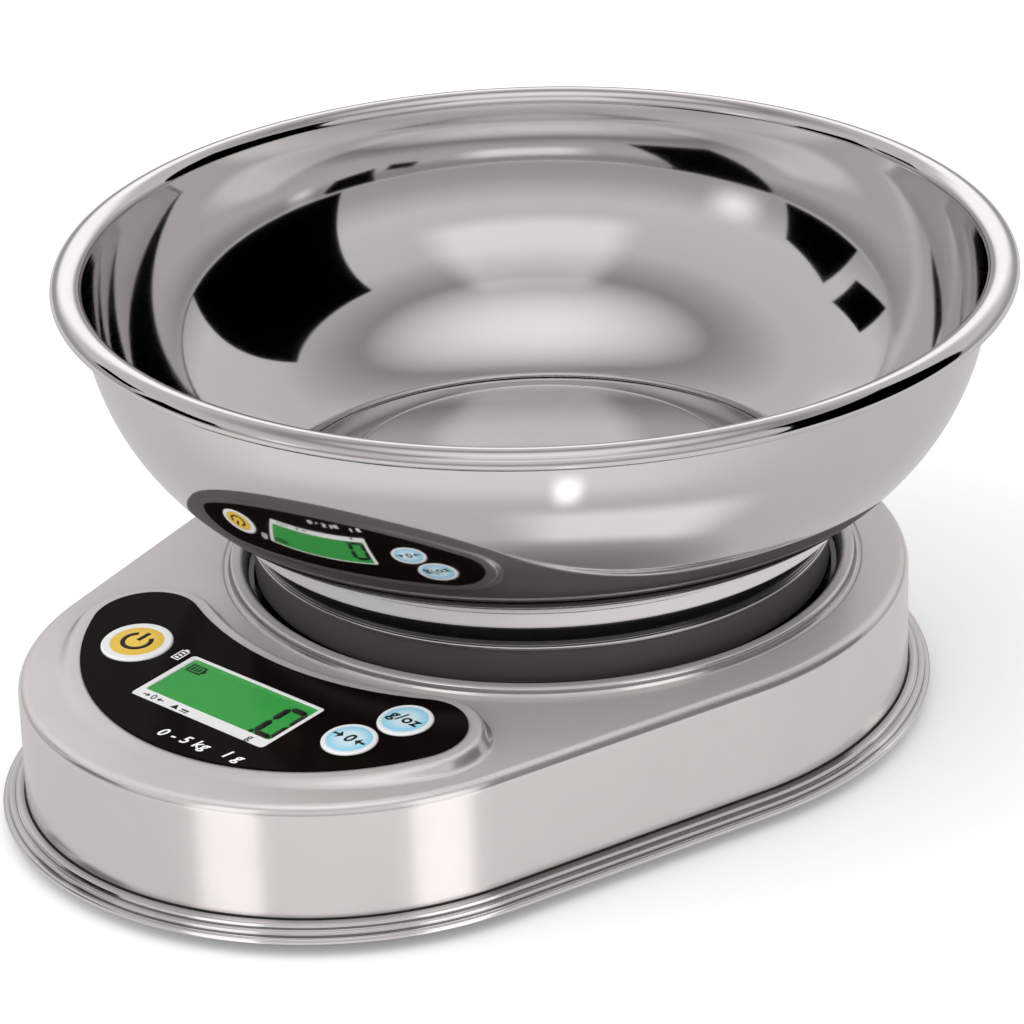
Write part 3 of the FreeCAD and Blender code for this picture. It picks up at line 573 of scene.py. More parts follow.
# ---------------- Battery box and cells
# A dark box moulded apart and dropped over the door opening: two small dry
# cells side by side, coil springs at one end and plain tabs at the other.
recoat(moulded("case plastic", paint(42, 41, 42), 0.42, 0.25), "battery_case")
contact_nickel = polished("contact nickel", paint(205, 200, 186), 0.16, 0.12, 0.1, 0)
coil, given = new_effect(
    "coil spring", "Geometry", Blank="Geometry", Turns=3.5, Wide_end=3 * MM, Narrow_end=2 * MM,
    Long=2 * MM, Wire=0.3 * MM, Finish="Material",
)
spiral = {"Rotations": "Turns", "Start Radius": "Wide end", "End Radius": "Narrow end", "Height": "Long"}
spiral = {socket: given[label] for socket, label in spiral.items()}
wound = add(coil, "CurveSpiral", {"Resolution": 24, **spiral})
wire = add(coil, "CurvePrimitiveCircle", {"Resolution": 8, "Radius": given["Wire"]})
skin = add(coil, "CurveToMesh", {"Curve": wound, "Profile Curve": wire, "Fill Caps": True})
end_shape(coil, add(coil, "SetShadeSmooth", {"Geometry": skin}), given)


def join(name, pieces):
    """Several plain pieces made one."""
    bm = bmesh.new()
    finishes = []
    for made in pieces:
        start = len(bm.faces)
        bm.from_mesh(made.data)
        bm.faces.ensure_lookup_table()
        finishes += [finish for finish in made.data.materials if finish not in finishes]
        table = [finishes.index(finish) for finish in made.data.materials]
        for face in bm.faces[start:]:
            face.material_index = table[face.material_index]
    mesh = bpy.data.meshes.new(name)
    bm.to_mesh(mesh)
    bm.free()
    for finish in finishes:
        mesh.materials.append(finish)
    for made in pieces:
        bpy.data.objects.remove(made)
    return placed(name, mesh)


def plate(name, lines, low, high, ease, finish, place=None):
    """A flat plate with eased edges, from the places round it and then round each hole."""
    bm = bmesh.new()
    section = eased([(-2 * ease, high), (0, high, ease), (0, low, ease), (-2 * ease, low)], turn=30)
    ends = []
    for k, line in enumerate(lines):
        side = -1 if k else 1
        ends.append(wall(bm, line, [(out * side, up) for out, up in section]))
    for rings in zip(*ends):
        cap(bm, *rings)
    return piece_from(bm, name, finish, place)


def slab(name, arcs, low, high, ease, finish, place=None, turn=12, holes=()):
    """A flat plate from the arcs round it, with holes if any are given."""
    return plate(name, [walk(line, turn) for line in (arcs, *holes)], low, high, ease, finish, place)


def oblong(cx, cy, long, wide, corner):
    """A rectangle with round corners, as arcs."""
    x, y = long / 2 - corner, wide / 2 - corner
    corners = ((x, y), (-x, y), (-x, -y), (x, -y))
    return [(cx + x, cy + y, corner, 90 * k, 90 * k + 90) for k, (x, y) in enumerate(corners)]


TAB, DIMPLE, TAB_THICK = 7.2, 3, 0.3
parts = []
for low, high in solids_of("battery_contacts"):
    side, middle = math.copysign(1, low.x), (low + high) / 2
    outer = low.x if side < 0 else high.x
    upright = Matrix.Translation((outer - side * TAB_THICK / 2, middle.y, middle.z))
    upright @= Matrix.Rotation(-side * math.pi / 2, 4, "Y")
    tab = oblong(0, 0, TAB, TAB, 1.2)
    parts.append(slab("tab", tab, -TAB_THICK / 2, TAB_THICK / 2, 0.05, contact_nickel, upright))
    if high.x - low.x > 1:
        made = shaped(
            strand("spring", [(0, 0, 0), (0, 0, 1)], False), coil, Turns=3.5, Wide_end=2.9 * MM,
            Narrow_end=1.7 * MM, Long=2 * MM, Wire=0.28 * MM, Finish=contact_nickel,
        )
        move(made, upright @ Matrix.Translation((0, 0, 0.35)))
    else:
        dimple = oblong(0, 0, DIMPLE, DIMPLE, DIMPLE / 2)
        made = slab("dimple", dimple, 0.1, 0.4, 0.12, contact_nickel, upright)
    parts.append(made)
belongs(join("spring_contacts", parts), "housing", "contact_nickel", "battery_contacts")

battery_steel = polished("battery ends", paint(206, 206, 206), 0.2, 0.1, 0.1, 0)
battery_wrap = moulded("battery wrap", paint(38, 72, 96), 0.28, 0.05, 1, 0.05)
battery_band = moulded("battery band", paint(196, 148, 64), 0.28, 0.05, 1, 0.05)
parts = []
for low, high in solids_of("batteries"):
    r, end = (high.z - low.z) / 2, (high.x - low.x) / 2
    side = 1 if high.x > -low.x else -1
    lie = Matrix.Translation((low + high) / 2) @ Matrix.Rotation(side * math.pi / 2, 4, "Y")
    split_at = end - 14.2
    can = [
        (0, -end), (r - 1.6, -end, 0.2), (r - 0.35, 0.4 - end, 0.5), (r - 0.35, end - 1.7, 0.6),
        (r - 1.4, end - 1.5, 0.2), (2, end - 1.5, 0.3), (1.9, end, 0.4), (0, end),
    ]
    wrap = [
        (r - 1, 0.45 - end, 0.1), (r, 0.7 - end, 0.5), (r, split_at), (r - 0.5, split_at),
        (r - 1, 1.5 - end),
    ]
    band = [
        (r - 0.5, split_at), (r, split_at), (r, end - 2, 0.6), (r - 1.3, end - 1.6, 0.1),
        (r - 1.3, end - 2.4),
    ]
    for corners, finish in ((can, battery_steel), (wrap, battery_wrap), (band, battery_band)):
        closed = corners is not can
        made = turned("cell", eased(corners, closed), (0, 0), finish, 48, closed)
        move(made, lie)
        parts.append(made)
belongs(join("dry_cells", parts), "housing", "battery_wrap", "batteries")

# ---------------- Battery door
# A snap-in lid of black plastic, hinged on two pips at its back edge, with a
# pressed raised field and rows of grip ribs at the front.
low, high = box_of("battery_door")
middle, long, wide = (low + high) / 2, high.x - low.x, high.y - low.y
door_plastic = moulded("door plastic", paint(30, 29, 31), 0.46, 0.4)
rib = oblong(0, 0, 16, 0.8, 0.39)
rib = slab("rib", rib, -0.35, 0.4, 0.15, door_plastic)
rows = [(0, low.y + (2.6 + 1.7 * k), low.z + 0.4) for k in range(5)]
ribs = repeated("ribs", rib, rows, door_plastic)
leaf = oblong(middle.x, middle.y, long, wide, 2)
leaf = slab("leaf", leaf, low.z + 0.4, high.z, 0.3, door_plastic)
raised = oblong(middle.x, middle.y, long - 5, wide - 5, 2)
raised = slab("raised", raised, low.z + 0.15, low.z + 0.8, 0.2, door_plastic)
belongs(join("door_leaf", [leaf, raised, ribs]), "battery_door", "black_plastic", "battery_door")

# ---------------- Underside ribs
# Low ribs moulded with the tray: two rings round the cell's screws and three
# straight bars on each side, which stiffen the flat between the feet.
tray_low = box_of("base_tray")[0]
screws_low, screws_high = box_of("cell_screws_low")
rib_centre = Vector((0, (screws_low.y + screws_high.y) / 2))
rib_section = eased([(0.7, 0.3), (-0.7, 0.3), (-0.5, -0.5, 0.2), (0.5, -0.5, 0.2)], closed=True)
parts = []
for radius in (15, 26):
    section = [(radius + out, tray_low.z + up) for out, up in rib_section]
    parts.append(turned("ring", section, rib_centre, tray_plastic, 120, True))
straight = oblong(0, rib_centre.y, 1.4, 64, 0.69)
straight = slab("bar", straight, tray_low.z - 0.5, tray_low.z + 0.3, 0.2, tray_plastic)
rows = [(side * (34 + 9 * k), 0, 0) for side in (-1, 1) for k in range(3)]
parts.append(repeated("bars", straight, rows, tray_plastic))
belongs(join("tray_ribs", parts), "housing", "black_plastic")

# ---------------- Weighing cell and its seat
# A bar of milled aluminium bridges the pressed base plate and the carrier that
# the platform screws to; four foil gauges under sealant sense its bending.
plate_steel = polished("plate steel", paint(186, 188, 190), 0.32, 0.2, 0.3, 0.02)
recoat(plate_steel, "base_plate", "platform_carrier", "cell_spacer_low", "cell_spacer_high")
recoat(polished("cell aluminium", paint(204, 205, 208), 0.3, 0.12, 0.35, 0), "load_cell")
recoat(screw_steel, "cell_screws_high", "platform_screws", "board_screws", "overload_stop")
recoat(moulded("gauge sealant", paint(232, 228, 214), 0.3, 0.1, 0.4), "strain_gauges")
fit_screws("cell_screws_fitted", "cell_screws_low", 3.6, 2.4, 1.95, 13.4, 3.6, 0.9, 1.3)

# ---------------- Circuit board and lamp
# A green board carries the controller under a black blob, three push switches
# and the green lamp sheet; a striped rubber strip joins it to the display.
recoat(moulded("board green", paint(24, 92, 48), 0.35, 0.1, 0.5), "circuit_board")
recoat(moulded("switch black", paint(24, 24, 24), 0.4, 0.15), "key_switches", "control_chip")
recoat(moulded("lamp sheet", paint(120, 220, 120), 0.5, 0.1), "backlight")
recoat(moulded("strip rubber", paint(206, 132, 150), 0.6, 0.2), "contact_strip")
recoat(moulded("carrier plastic", paint(26, 25, 27), 0.45, 0.25), "panel_carrier")

# ---------------- Body shell
# Stainless sheet drawn deep and polished: plain walls, an eased top edge, a
# raised seat for the panel, and a rolled lip round the platform well.
press = next(j for j in frame["joints"] if j["name"] == "power_press")
tilt = math.atan2(abs(press["axis"][1]), abs(press["axis"][2]))
overlay_low, overlay_high = box_of("panel_overlay")
# The panel's arcs, on its own plane: middle across, middle up, radius.
HOLLOW = (0, 109, -92.5)
OUTER = (0, 36.95, 64.8)
LOBE = (45.5, 13.26, 13.5)
bean_front, bean_back = OUTER[1] - OUTER[2], LOBE[1] + LOBE[2]
panel_y = overlay_low.y - bean_front * math.cos(tilt)
panel_z = overlay_high.z - bean_back * math.sin(tilt)
panel_at = Matrix.Translation((0, panel_y, panel_z)) @ Matrix.Rotation(tilt, 4, "X")


def bean_line():
    """Round the panel: a kidney whose hollow side follows the bowl."""
    low_angle = math.degrees(math.atan2(LOBE[1] - OUTER[1], LOBE[0]))
    high_angle = math.degrees(math.atan2(HOLLOW[1] - LOBE[1], -LOBE[0]))
    return walk(
        [
            (*OUTER, -180 - low_angle, low_angle),
            (*LOBE, low_angle, high_angle),
            (*HOLLOW, high_angle - 180, -high_angle),
            (-LOBE[0], *LOBE[1:], 180 - high_angle, 180 - low_angle),
        ]
    )


# Painted shade: the top's colour is darkened where other pieces' reflections see
# it, so the bowl's lower wall shows it dark.
shell_steel = polished("shell steel", paint(222, 217, 215), 0.16, 0.05, 0.015, 0.008, metal=0.85, satin_top=1)
tree = shell_steel.node_tree
facing = axis_of(tree, add(tree, "NewGeometry").outputs["Normal"])
top = span(tree, facing, 0.5, 0.9, "LINEAR", 0.86)
reflected_shade = sums(tree, "MULTIPLY", add(tree, "LightPath").outputs["Is Glossy Ray"], top)
tint(shell_steel, reflected_shade, paint(58, 56, 56))

TOP = 36.5
LIP_RADIUS = 79.5
bm = bmesh.new()
side = eased([(0, outline_low.z), (0, TOP, 4), (-5.5, TOP)], turn=6)
rings = [side[0], (0, side[0][1] + 0.25), (0, 14), (0, 24), *side[1:]]
_, plate_edge = wall(bm, body_line(1.5), rings)
lip = eased([
    (2.9, 36.5), (1.9, 36.5, 0.5), (1.45, 36.1, 0.4), (0.45, 36.25, 0.4), (0, 37, 0.5),
    (-0.05, 38.6, 1.2), (-3, 38.6, 1.5), (-4.35, 37, 0.9), (-4.45, 33.9),
], turn=10)
lip_line = walk([(0, AXIS.y, LIP_RADIUS, 0, 360)], 2)
lip_edge, _ = wall(bm, lip_line, lip)
SEAT_MARGIN, SEAT_RUN, SHEET = 2.2, 4.6, 0.8
SEAT_SINK, FLANGE, EDGE_ROOM = 0.6, 1.2, 6
SLOPE_STEPS = 15
places = bean_line()
body_stations = body_line()


def slope_run(x, y, nx, ny):
    """How far the seat's slope may run here before it meets the body's eased edge."""
    run = SEAT_RUN
    while run > 1.0:
        end = panel_at @ Vector((x + nx * (SEAT_MARGIN + run), y + ny * (SEAT_MARGIN + run), 0))
        if max((end.x - bx) * bnx + (end.y - by) * bny for bx, by, bnx, bny in body_stations) < -EDGE_ROOM:
            break
        run -= 0.1
    return run


runs = [slope_run(*place) for place in places]
rings = []
for k in range(-2, SLOPE_STEPS + 2):
    ring = []
    share = min(max(k / SLOPE_STEPS, 0), 1)
    drop = share ** 3 * (share * (6 * share - 15) + 10)
    for (x, y, nx, ny), run in zip(places, runs):
        out = SEAT_MARGIN + run * (k / SLOPE_STEPS if k >= 0 else k * 0.35)
        spot = panel_at @ Vector((x + nx * out, y + ny * out, -SEAT_SINK))
        ring.append(vertex(bm, spot.x, spot.y, spot.z + (TOP - spot.z) * drop))
    rings.append(ring)
flange = [bm.verts.new(v.co - Vector((0, 0, FLANGE * MM))) for v in rings[0]]
bridge(bm, flange, *rings)
cap(bm, plate_edge, lip_edge, rings[-1])
shell = piece_from(bm, "steel_shell", shell_steel)
gauge = shell.modifiers.new("sheet", "SOLIDIFY")
gauge.thickness, gauge.offset = SHEET * MM, -1
settle(shell)
belongs(shell, "housing", "shell_steel", "body_shell")

# ---------------- Well ring
# A black moulding that closes the well under the platform, stepped down
# towards the middle so that spills stay out of the works.
black_gloss = moulded(
    "black gloss plastic", paint(15, 15, 16), 0.2, 0.06, 1, 0.06, Coat_Weight=0.4, Coat_Roughness=0.06
)
well = eased([
    (46.6, 32.5, 0.3), (46.6, 33.7, 0.4), (72.5, 33.7, 0.3), (73.4, 34.4, 0.3), (74.9, 34.5, 0.2),
    (75, 35.6, 0.2), (79.3, 35.65, 0.2), (79.3, 32.5, 0.3),
], closed=True, turn=20)
well = turned("stepped_well", well, AXIS, black_gloss, 180, closed=True)
belongs(well, "housing", "black_plastic", "well_ring")

# ---------------- Control panel
# A gloss black overlay, printed from behind and glued on the raised seat, with
# windows for the display and the three keys.
KEYS = {"power_button": 9.15, "zero_button": 7, "unit_button": 7}
WINDOW, WINDOW_CORNER = (45.2, 22), 1.2
KEY_PLAY = 0.12


def on_panel(node):
    """The middle of a CAD node, on the panel's own plane."""
    low, high = box_of(node)
    return panel_at.inverted() @ ((low + high) / 2)


overlay_black = moulded("overlay black", paint(17, 11, 10), 0.14, 0.02, 1, 0.03, Specular_IOR_Level=0.03)
key_at = {node: on_panel(node) for node in KEYS}
window_at = on_panel("display_window")
lines = [places, walk(oblong(*window_at.xy, *WINDOW, WINDOW_CORNER), 15)]
for node, reach in KEYS.items():
    lines.append(walk([(*key_at[node].xy, reach + KEY_PLAY, 0, 360)], 6))
overlay = plate("gloss_overlay", lines, -0.6, 0, 0.12, overlay_black, panel_at)
belongs(overlay, "housing", "overlay_black", "panel_overlay")

# ---------------- Display
# A clear window over a white printed border; behind it the green lit glass
# with its one dark digit, decimal point and battery sign.
GLASS = (42.4, 17.4)
PRINTED = 0.03
# The white print glows faintly: painted light, an emission that keeps it bright.
glowing_print_white = moulded(
    "white print", paint(250, 250, 250), 0.45, 0.05, 1, 0.02,
    Emission_Color=(1, 1, 1, 1), Emission_Strength=0.12,
)
print_black = moulded("black print", paint(10, 12, 10), 0.45, 0.05, 1, 0.02)
glass_at = on_panel("display_glass")
border = slab(
    "border", oblong(*window_at.xy, WINDOW[0] - 0.1, WINDOW[1] - 0.1, WINDOW_CORNER),
    -0.75, -0.25, 0.05, glowing_print_white, panel_at, 15, [oblong(*glass_at.xy, *GLASS, 0.8)],
)
belongs(border, "housing", "white_plastic", "display_frame")
lit_green = moulded(
    "lit glass", paint(42, 140, 58), 0.35, 0.02, 1, 0.03,
    Emission_Color=paint(46, 160, 62), Emission_Strength=0.4,
)
lit = oblong(*glass_at.xy, *GLASS, 0.6)
lit = slab("lit_glass", lit, -2.4, -0.8, 0.05, lit_green, panel_at, 15)
belongs(lit, "housing", "display_green", "display_glass")


def prints(name, shapes, low, high, finish, place=panel_at):
    """Thin printed shapes, each an outline, or an outline and its hole."""
    bm = bmesh.new()
    for shape in shapes:
        loops = shape if isinstance(shape[0][0], (tuple, list)) else [shape]
        ends = []
        for loop in loops:
            top, bottom = ([vertex(bm, x, y, level) for x, y in loop] for level in (high, low))
            bridge(bm, bottom, top)
            ends.append((top, bottom))
        for rings in zip(*ends):
            cap(bm, *rings)
    return piece_from(bm, name, finish, place)


def lettering(name, words, size, low, high, finish, place, weight=0.012, slope=0):
    """Printed figures in a plain face, centred on their place."""
    text = bpy.data.curves.new(name, "FONT")
    text.body, text.size, text.align_x, text.align_y = words, size * MM, "CENTER", "CENTER"
    text.space_character = 1.12
    text.extrude, text.offset, text.shear = (high - low) / 2 * MM, weight * size * MM, slope
    flat = placed(name, text)
    made = placed(name, plain_mesh(flat))
    bpy.data.objects.remove(flat)
    move(made, place @ Matrix.Translation((0, 0, (low + high) / 2)))
    made.data.materials.clear()
    made.data.materials.append(finish)
    return made


def bar(x, y, long, wide, angle):
    """One bar of a digit, with pointed ends."""
    a, b = long / 2, wide / 2
    c, s = math.cos(angle), math.sin(angle)
    points = ((-a, 0), (-a + b, -b), (a - b, -b), (a, 0), (a - b, b), (-a + b, b))
    return [(x + u * c - v * s, y + u * s + v * c) for u, v in points]


def box(x, y, long, wide):
    """A plain filled box, as an outline."""
    a, b = long / 2, wide / 2
    return [(x + a, y + b), (x - a, y + b), (x - a, y - b), (x + a, y - b)]


def cell_sign(x, y, long, wide, line, tip, bars, gap, upright):
    """A battery with three bars in it: its outline, the pip on its end, and the bars."""
    pip_x, pip_y = (0, tip[0]) if upright else (tip[0], 0)
    made = [[box(x, y, long, wide), box(x, y, long - 2 * line, wide - 2 * line)]]
    made.append(box(x + pip_x, y + pip_y, *tip[1:]))
    for k in (-1, 0, 1):
        step = k * gap
        made.append(box(x, y + step, *bars) if upright else box(x + step, y, *bars))
    return made


DIGIT_WIDE, DIGIT_TALL, DIGIT_LINE = 5.6, 12.6, 1.9
DOT = 0.7
glass_left, glass_right = glass_at.x - GLASS[0] / 2, glass_at.x + GLASS[0] / 2
glass_foot = glass_at.y - GLASS[1] / 2
digit_x, digit_y = glass_right - 3.8, glass_foot + 1.5 + DIGIT_TALL / 2
marks = []
for y in (DIGIT_TALL / 2, -DIGIT_TALL / 2):
    marks.append(bar(digit_x, digit_y + y, DIGIT_WIDE - 0.3, DIGIT_LINE, 0))
for x in (DIGIT_WIDE / 2, -DIGIT_WIDE / 2):
    for y in (DIGIT_TALL / 4, -DIGIT_TALL / 4):
        upright = (DIGIT_TALL / 2 - 0.3, DIGIT_LINE, math.pi / 2)
        marks.append(bar(digit_x + x, digit_y + y, *upright))
dot_x, dot_y = digit_x - 3.6, glass_foot + 1.3
angles = np.linspace(0, math.tau, 16, endpoint=False)
marks.append([(dot_x + DOT * math.cos(a), dot_y + DOT * math.sin(a)) for a in angles])
sign_x, sign_y = glass_left + 3.4, glass_at.y + GLASS[1] / 2 - 3.3
marks += cell_sign(sign_x, sign_y, 4.8, 3.4, 0.5, (2.7, 0.6, 1.3), (0.6, 1.7), 1.05, False)
segments = prints("dark_segments", marks, -0.8, -0.74, print_black)
belongs(segments, "housing", "black_plastic")


def arrow(x, y, long, high):
    """A short arrow with a filled head, pointing left where its length is below zero."""
    a, b = long / 2, high / 2
    stem = b * 0.22
    head = [(x + a * 0.1, y - b), (x + a, y), (x + a * 0.1, y + b)]
    return [(x - a, y + stem), (x - a, y - stem), (x + a * 0.1, y - stem), *head, (x + a * 0.1, y + stem)]


strip = (-0.25, -0.25 + PRINTED, print_black)
strip_y = (window_at.y - WINDOW[1] / 2 + glass_foot) / 2
bars_x = glass_left + 15.9
marks = [arrow(glass_left + x, strip_y, long, 1.5) for x, long in ((2.6, 2.2), (7.4, -2.2))]
marks.append([(glass_left + x, strip_y + y) for x, y in ((11.4, -0.9), (13.8, -0.9), (12.6, 1))])
marks += [box(bars_x, strip_y, 2.4, 0.55), box(bars_x, strip_y - 0.8, 2.4, 0.3)]
parts = [prints("strip_signs", marks, *strip)]
for words, size, x, y in (("0", 2.9, glass_left + 5, 0), ("g", 3.4, glass_right - 4.5, 0.1)):
    at = panel_at @ Matrix.Translation((x, strip_y + y, 0))
    parts.append(lettering("strip_" + words, words, size, *strip, at))
belongs(join("display_signs", parts), "housing", "black_plastic")

clear_film = moulded("clear window", (0.02, 0.02, 0.02, 1), 0.03, 0.01, 1, 0, Alpha=0.05)
window = oblong(*window_at.xy, *WINDOW, WINDOW_CORNER)
window = slab("clear_window", window, -0.2, -0.02, 0.04, clear_film, panel_at, 15)
belongs(window, "housing", "clear_window", "display_window")

sign_x, sign_y = window_at.x - WINDOW[0] / 2 - 2.6, window_at.y + WINDOW[1] / 2 - 2.2
marks = cell_sign(sign_x, sign_y, 2.6, 4.4, 0.32, (2.5, 1.2, 0.6), (1.3, 0.6), 1.15, True)
sign = prints("cell_sign", marks, 0, PRINTED, glowing_print_white)
range_at = panel_at @ Matrix.Translation((window_at.x + 9.5, window_at.y - 18.6, 0))
range_at @= Matrix.Rotation(math.radians(5), 4, "Z")
range_marks = ("range_marks", "0 - 5 kg   1 g", 4.4, 0, PRINTED, glowing_print_white, range_at, 0.02, 0.3)
belongs(join("panel_print", [sign, lettering(*range_marks)]), "housing", "white_plastic")

# ---------------- Keys
# Three push keys with white skirts and printed domes, amber for power and pale
# blue for the other two, each on its own stem through the overlay.
domed, given = new_effect(
    "printed dome", "Shader", Middle="Color", Rim="Color", Centre="Vector", Reach=6 * MM
)
where = add(domed, "TexCoord").outputs["Object"]
away = add(domed, "VectorMath", {0: where, 1: given["Centre"]}, operation="DISTANCE").outputs["Value"]
share = span(domed, sums(domed, "DIVIDE", away, given["Reach"]), 0.35, 1)
mixed = add(domed, "Mix", {"Factor": share, 6: given["Middle"], 7: given["Rim"]}, data_type="RGBA")
skin = {"Colour": mixed.outputs[2], "Roughness": 0.32, "Grain": 0.06, "Drift": 0.02}
skin = add(domed, "Group", skin, node_tree=grain).outputs
give(domed, Colour=skin["Colour"], Roughness=skin["Roughness"], Normal=skin["Normal"])

AMBER = (paint(252, 210, 78), paint(240, 198, 66), 0.76)
PALE_BLUE = (paint(222, 246, 255), paint(156, 222, 252), 0.83)
key_white = moulded("key white", paint(246, 247, 248), 0.32, 0.05, 1, 0.02)


def power_sign(reach):
    """A broken ring with an upright bar."""
    width, half_gap = 0.34 * reach, 38
    angles = np.radians(np.linspace(90 + half_gap, 450 - half_gap, 40))
    loop = [((reach + width / 2) * math.cos(a), (reach + width / 2) * math.sin(a)) for a in angles]
    loop += [((reach - width / 2) * math.cos(a), (reach - width / 2) * math.sin(a)) for a in angles[::-1]]
    x, top, foot = width / 2, reach * 1.25, reach * 0.1
    return [loop, [(x, top), (-x, top), (-x, foot), (x, foot)]]


for node, (middle, rim, share) in zip(KEYS, (AMBER, PALE_BLUE, PALE_BLUE)):
    at = panel_at @ Matrix.Translation((*key_at[node].xy, 0))
    reach = KEYS[node] - KEY_PLAY
    inner = share * reach
    skirt = eased([
        (0, 0.3), (inner - 0.1, 0.3), (inner, 0.42, 0.1), (reach - 0.35, 0.42, 0.3), (reach, 0.1, 0.3),
        (reach, -1.9, 0.1), (0, -1.9),
    ])
    dome = eased(
        [(0, 0.5), (inner * 0.7, 0.49, 3), (inner - 0.15, 0.43, 0.2), (inner - 0.1, 0.25), (0, 0.25)]
    )
    spread = {"Middle": middle, "Rim": rim, "Centre": at.translation * MM, "Reach": inner * MM}
    finish = finish_from(domed, node.replace("button", "dome"), spread)
    parts = [turned("skirt", skirt, (0, 0), key_white, 72), turned("dome", dome, (0, 0), finish, 72)]
    for made in parts:
        move(made, at)
    ink = (0.46, 0.52, print_black, at)
    if node == "power_button":
        parts.append(prints("sign", power_sign(0.52 * inner), 0.48, *ink[1:]))
    elif node == "zero_button":
        arrows = [arrow(-3.5, 0, 3, 3), arrow(3.5, 0, -3, 3)]
        parts.append(prints("arrows", arrows, *ink))
        parts.append(lettering("nought", "0", 4.6, *ink, 0.03, 0.15))
    else:
        parts.append(lettering("units", "g/oz", 4.8, *ink, 0.028, 0.1))
    slot = "key_yellow" if node == "power_button" else "key_blue"
    belongs(join(node.replace("button", "key"), parts), node, slot, node)

# ---------------- Weighing platform
# A black moulded hub that the bowl drops on to: a raised centre, a flat seat
# for the bowl's foot, and a flared skirt that hides the well, its one bead given a light metal finish as a
# painted highlight.
hub = eased([
    (0, 60.5), (8, 60.5, 0.2), (8.6, 60.9, 0.3), (47.4, 60.9, 2.5), (69.4, 54.2, 1), (76.2, 54.2, 0.7),
    (77, 53.2, 0.6), (74.2, 48.6, 6), (73, 46.9, 0.5), (73.9, 46.7, 0.35), (73.9, 45.7, 0.35),
    (73, 45.5, 0.3), (73, 36, 0.5), (71.6, 36, 0.3), (71.4, 46, 1), (73.4, 52, 1),
    (68.6, 52.6, 1), (46.8, 59.2, 1.5), (0, 59.2),
])
hub = turned("platform_hub", hub, AXIS, black_gloss, 180)
belongs(hub, "platform", "platform_black", "weighing_platform")


def coat_part(made, finish, low, high, out, level=2):
    """Faces between two heights and further out than a radius, in mm, take their own finish;
    faces more level than asked are left."""
    made.data.materials.append(finish)
    last = len(made.data.materials) - 1
    for face in made.data.polygons:
        reach = (face.center.xy / MM - AXIS).length
        if low * MM < face.center.z < high * MM and reach > out and abs(face.normal.z) < level:
            face.material_index = last


# The bead's light metal finish is a painted highlight along the hub's lower edge.
bead_painted_highlight = polished("bead bright", paint(238, 236, 235), 0.2, 0.05, 0.02, 0)
skirt_black = moulded("skirt plastic", paint(74, 72, 70), 0.36, 0.1, 1, 0.05)
coat_part(hub, bead_painted_highlight, 45.3, 46.95, 72.9)
coat_part(hub, skirt_black, 0, 45.3, 72.3)

# ---------------- Bowl
# Stainless bowl spun from one sheet: a dished foot that nests on the hub, a
# round-bellied wall, and a wide rolled rim. Mirror polish inside and out.
bowl_steel = polished("bowl steel", paint(225, 223, 222), 0.045, 0.03, 0.02, 0.01, (0, AXIS.y * MM, 0))
foot_steel = polished("foot steel", paint(228, 224, 223), 0.45, 0.05, 0.1, 0, metal=0.3)
RIM, TALL, FOOT = bowl_high.x, bowl_high.z, bowl_low.z
BELLY_AT, BELLY = (50.8, 113.6), 62
GAUGE = 0.8


def rounded(centre, across, tall, start, end, steps):
    """Points on a round, from one bearing to another."""
    angles = np.radians(np.linspace(start, end, steps))
    return [(centre[0] + across * math.cos(a), centre[1] + tall * math.sin(a)) for a in angles]


def roll(inset):
    """The rolled rim, over the top and tucked under, drawn in from its outside by an inset."""
    over = rounded((RIM - 4, TALL - 3.2), 4 - inset, 3.2 - inset, 180, 0, 31)
    under = rounded((RIM - 1.2, TALL - 3.2), 1.2 - inset, 1.2 - inset, -18, -90, 6)
    return over + under + [(RIM - 3.2, TALL - 4.4 + inset)]


outside = eased(
    [(0, FOOT + 7), (48, FOOT + 7, 3.5), (70, FOOT, 1.2), (79, FOOT, 0.9), (79, 58.5, 0.7), (81.2, 59.6)],
    turn=10,
)
inside = eased([(0, FOOT + 7.8), (47.6, FOOT + 7.8, 4), (68.6, 55, 6), (72.3, 56.3)], turn=5)
outside = outside[:-1] + rounded(BELLY_AT, BELLY, BELLY, -60.4, 0, 36)[:-1]
inside = inside[:-1] + rounded(BELLY_AT, BELLY - GAUGE, BELLY - GAUGE, -69.4, 0, 44)[:-1]
section = outside + roll(GAUGE) + roll(0)[::-1] + inside[::-1]
bowl = turned("spun_bowl", section, AXIS, bowl_steel, 288)
belongs(bowl, "bowl", "bowl_steel", "bowl")
coat_part(bowl, foot_steel, 0, 58.3, 78.3, 0.9)

# ---------------- Studio
# A pale floor under soft light, with white and dark cards standing round the
# scale to give the polished steel something to show.
FLOOR = 6
mesh = bpy.data.meshes.new("floor")
corners = [(x * FLOOR, y * FLOOR, 0) for x, y in ((-1, -1), (1, -1), (1, 1), (-1, 1))]
mesh.from_pydata(corners, [], [(0, 1, 2, 3)])
floor = placed("floor", mesh)
floor_finish = bpy.data.materials.new("pale floor")
floor_finish.use_nodes = True
for label, value in (
    ("Base Color", (0.93, 0.93, 0.93, 1)),
    ("Roughness", 0.9),
    ("Specular IOR Level", 0),
    ("Emission Color", (1, 1, 1, 1)),
    ("Emission Strength", 0.16),
):
    floor_finish.node_tree.nodes["Principled BSDF"].inputs[label].default_value = value
mesh.materials.append(floor_finish)
floor.visible_glossy = False
floor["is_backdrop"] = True

# The room as polished steel sees it, from straight down (0) to straight up (1).
ROOM = (
    (0, 0.2), (0.02, 0.3), (0.05, 0.56), (0.26, 0.64), (0.46, 0.72), (0.5, 0.36), (0.6, 0.42), (0.7, 0.66),
    (0.86, 0.6), (0.94, 0.3), (1, 0.2),
)
world = bpy.data.worlds.new("studio")
bpy.context.scene.world = world
world.use_nodes = True
world.cycles.sampling_method = "NONE"
tree = world.node_tree
tree.nodes.clear()
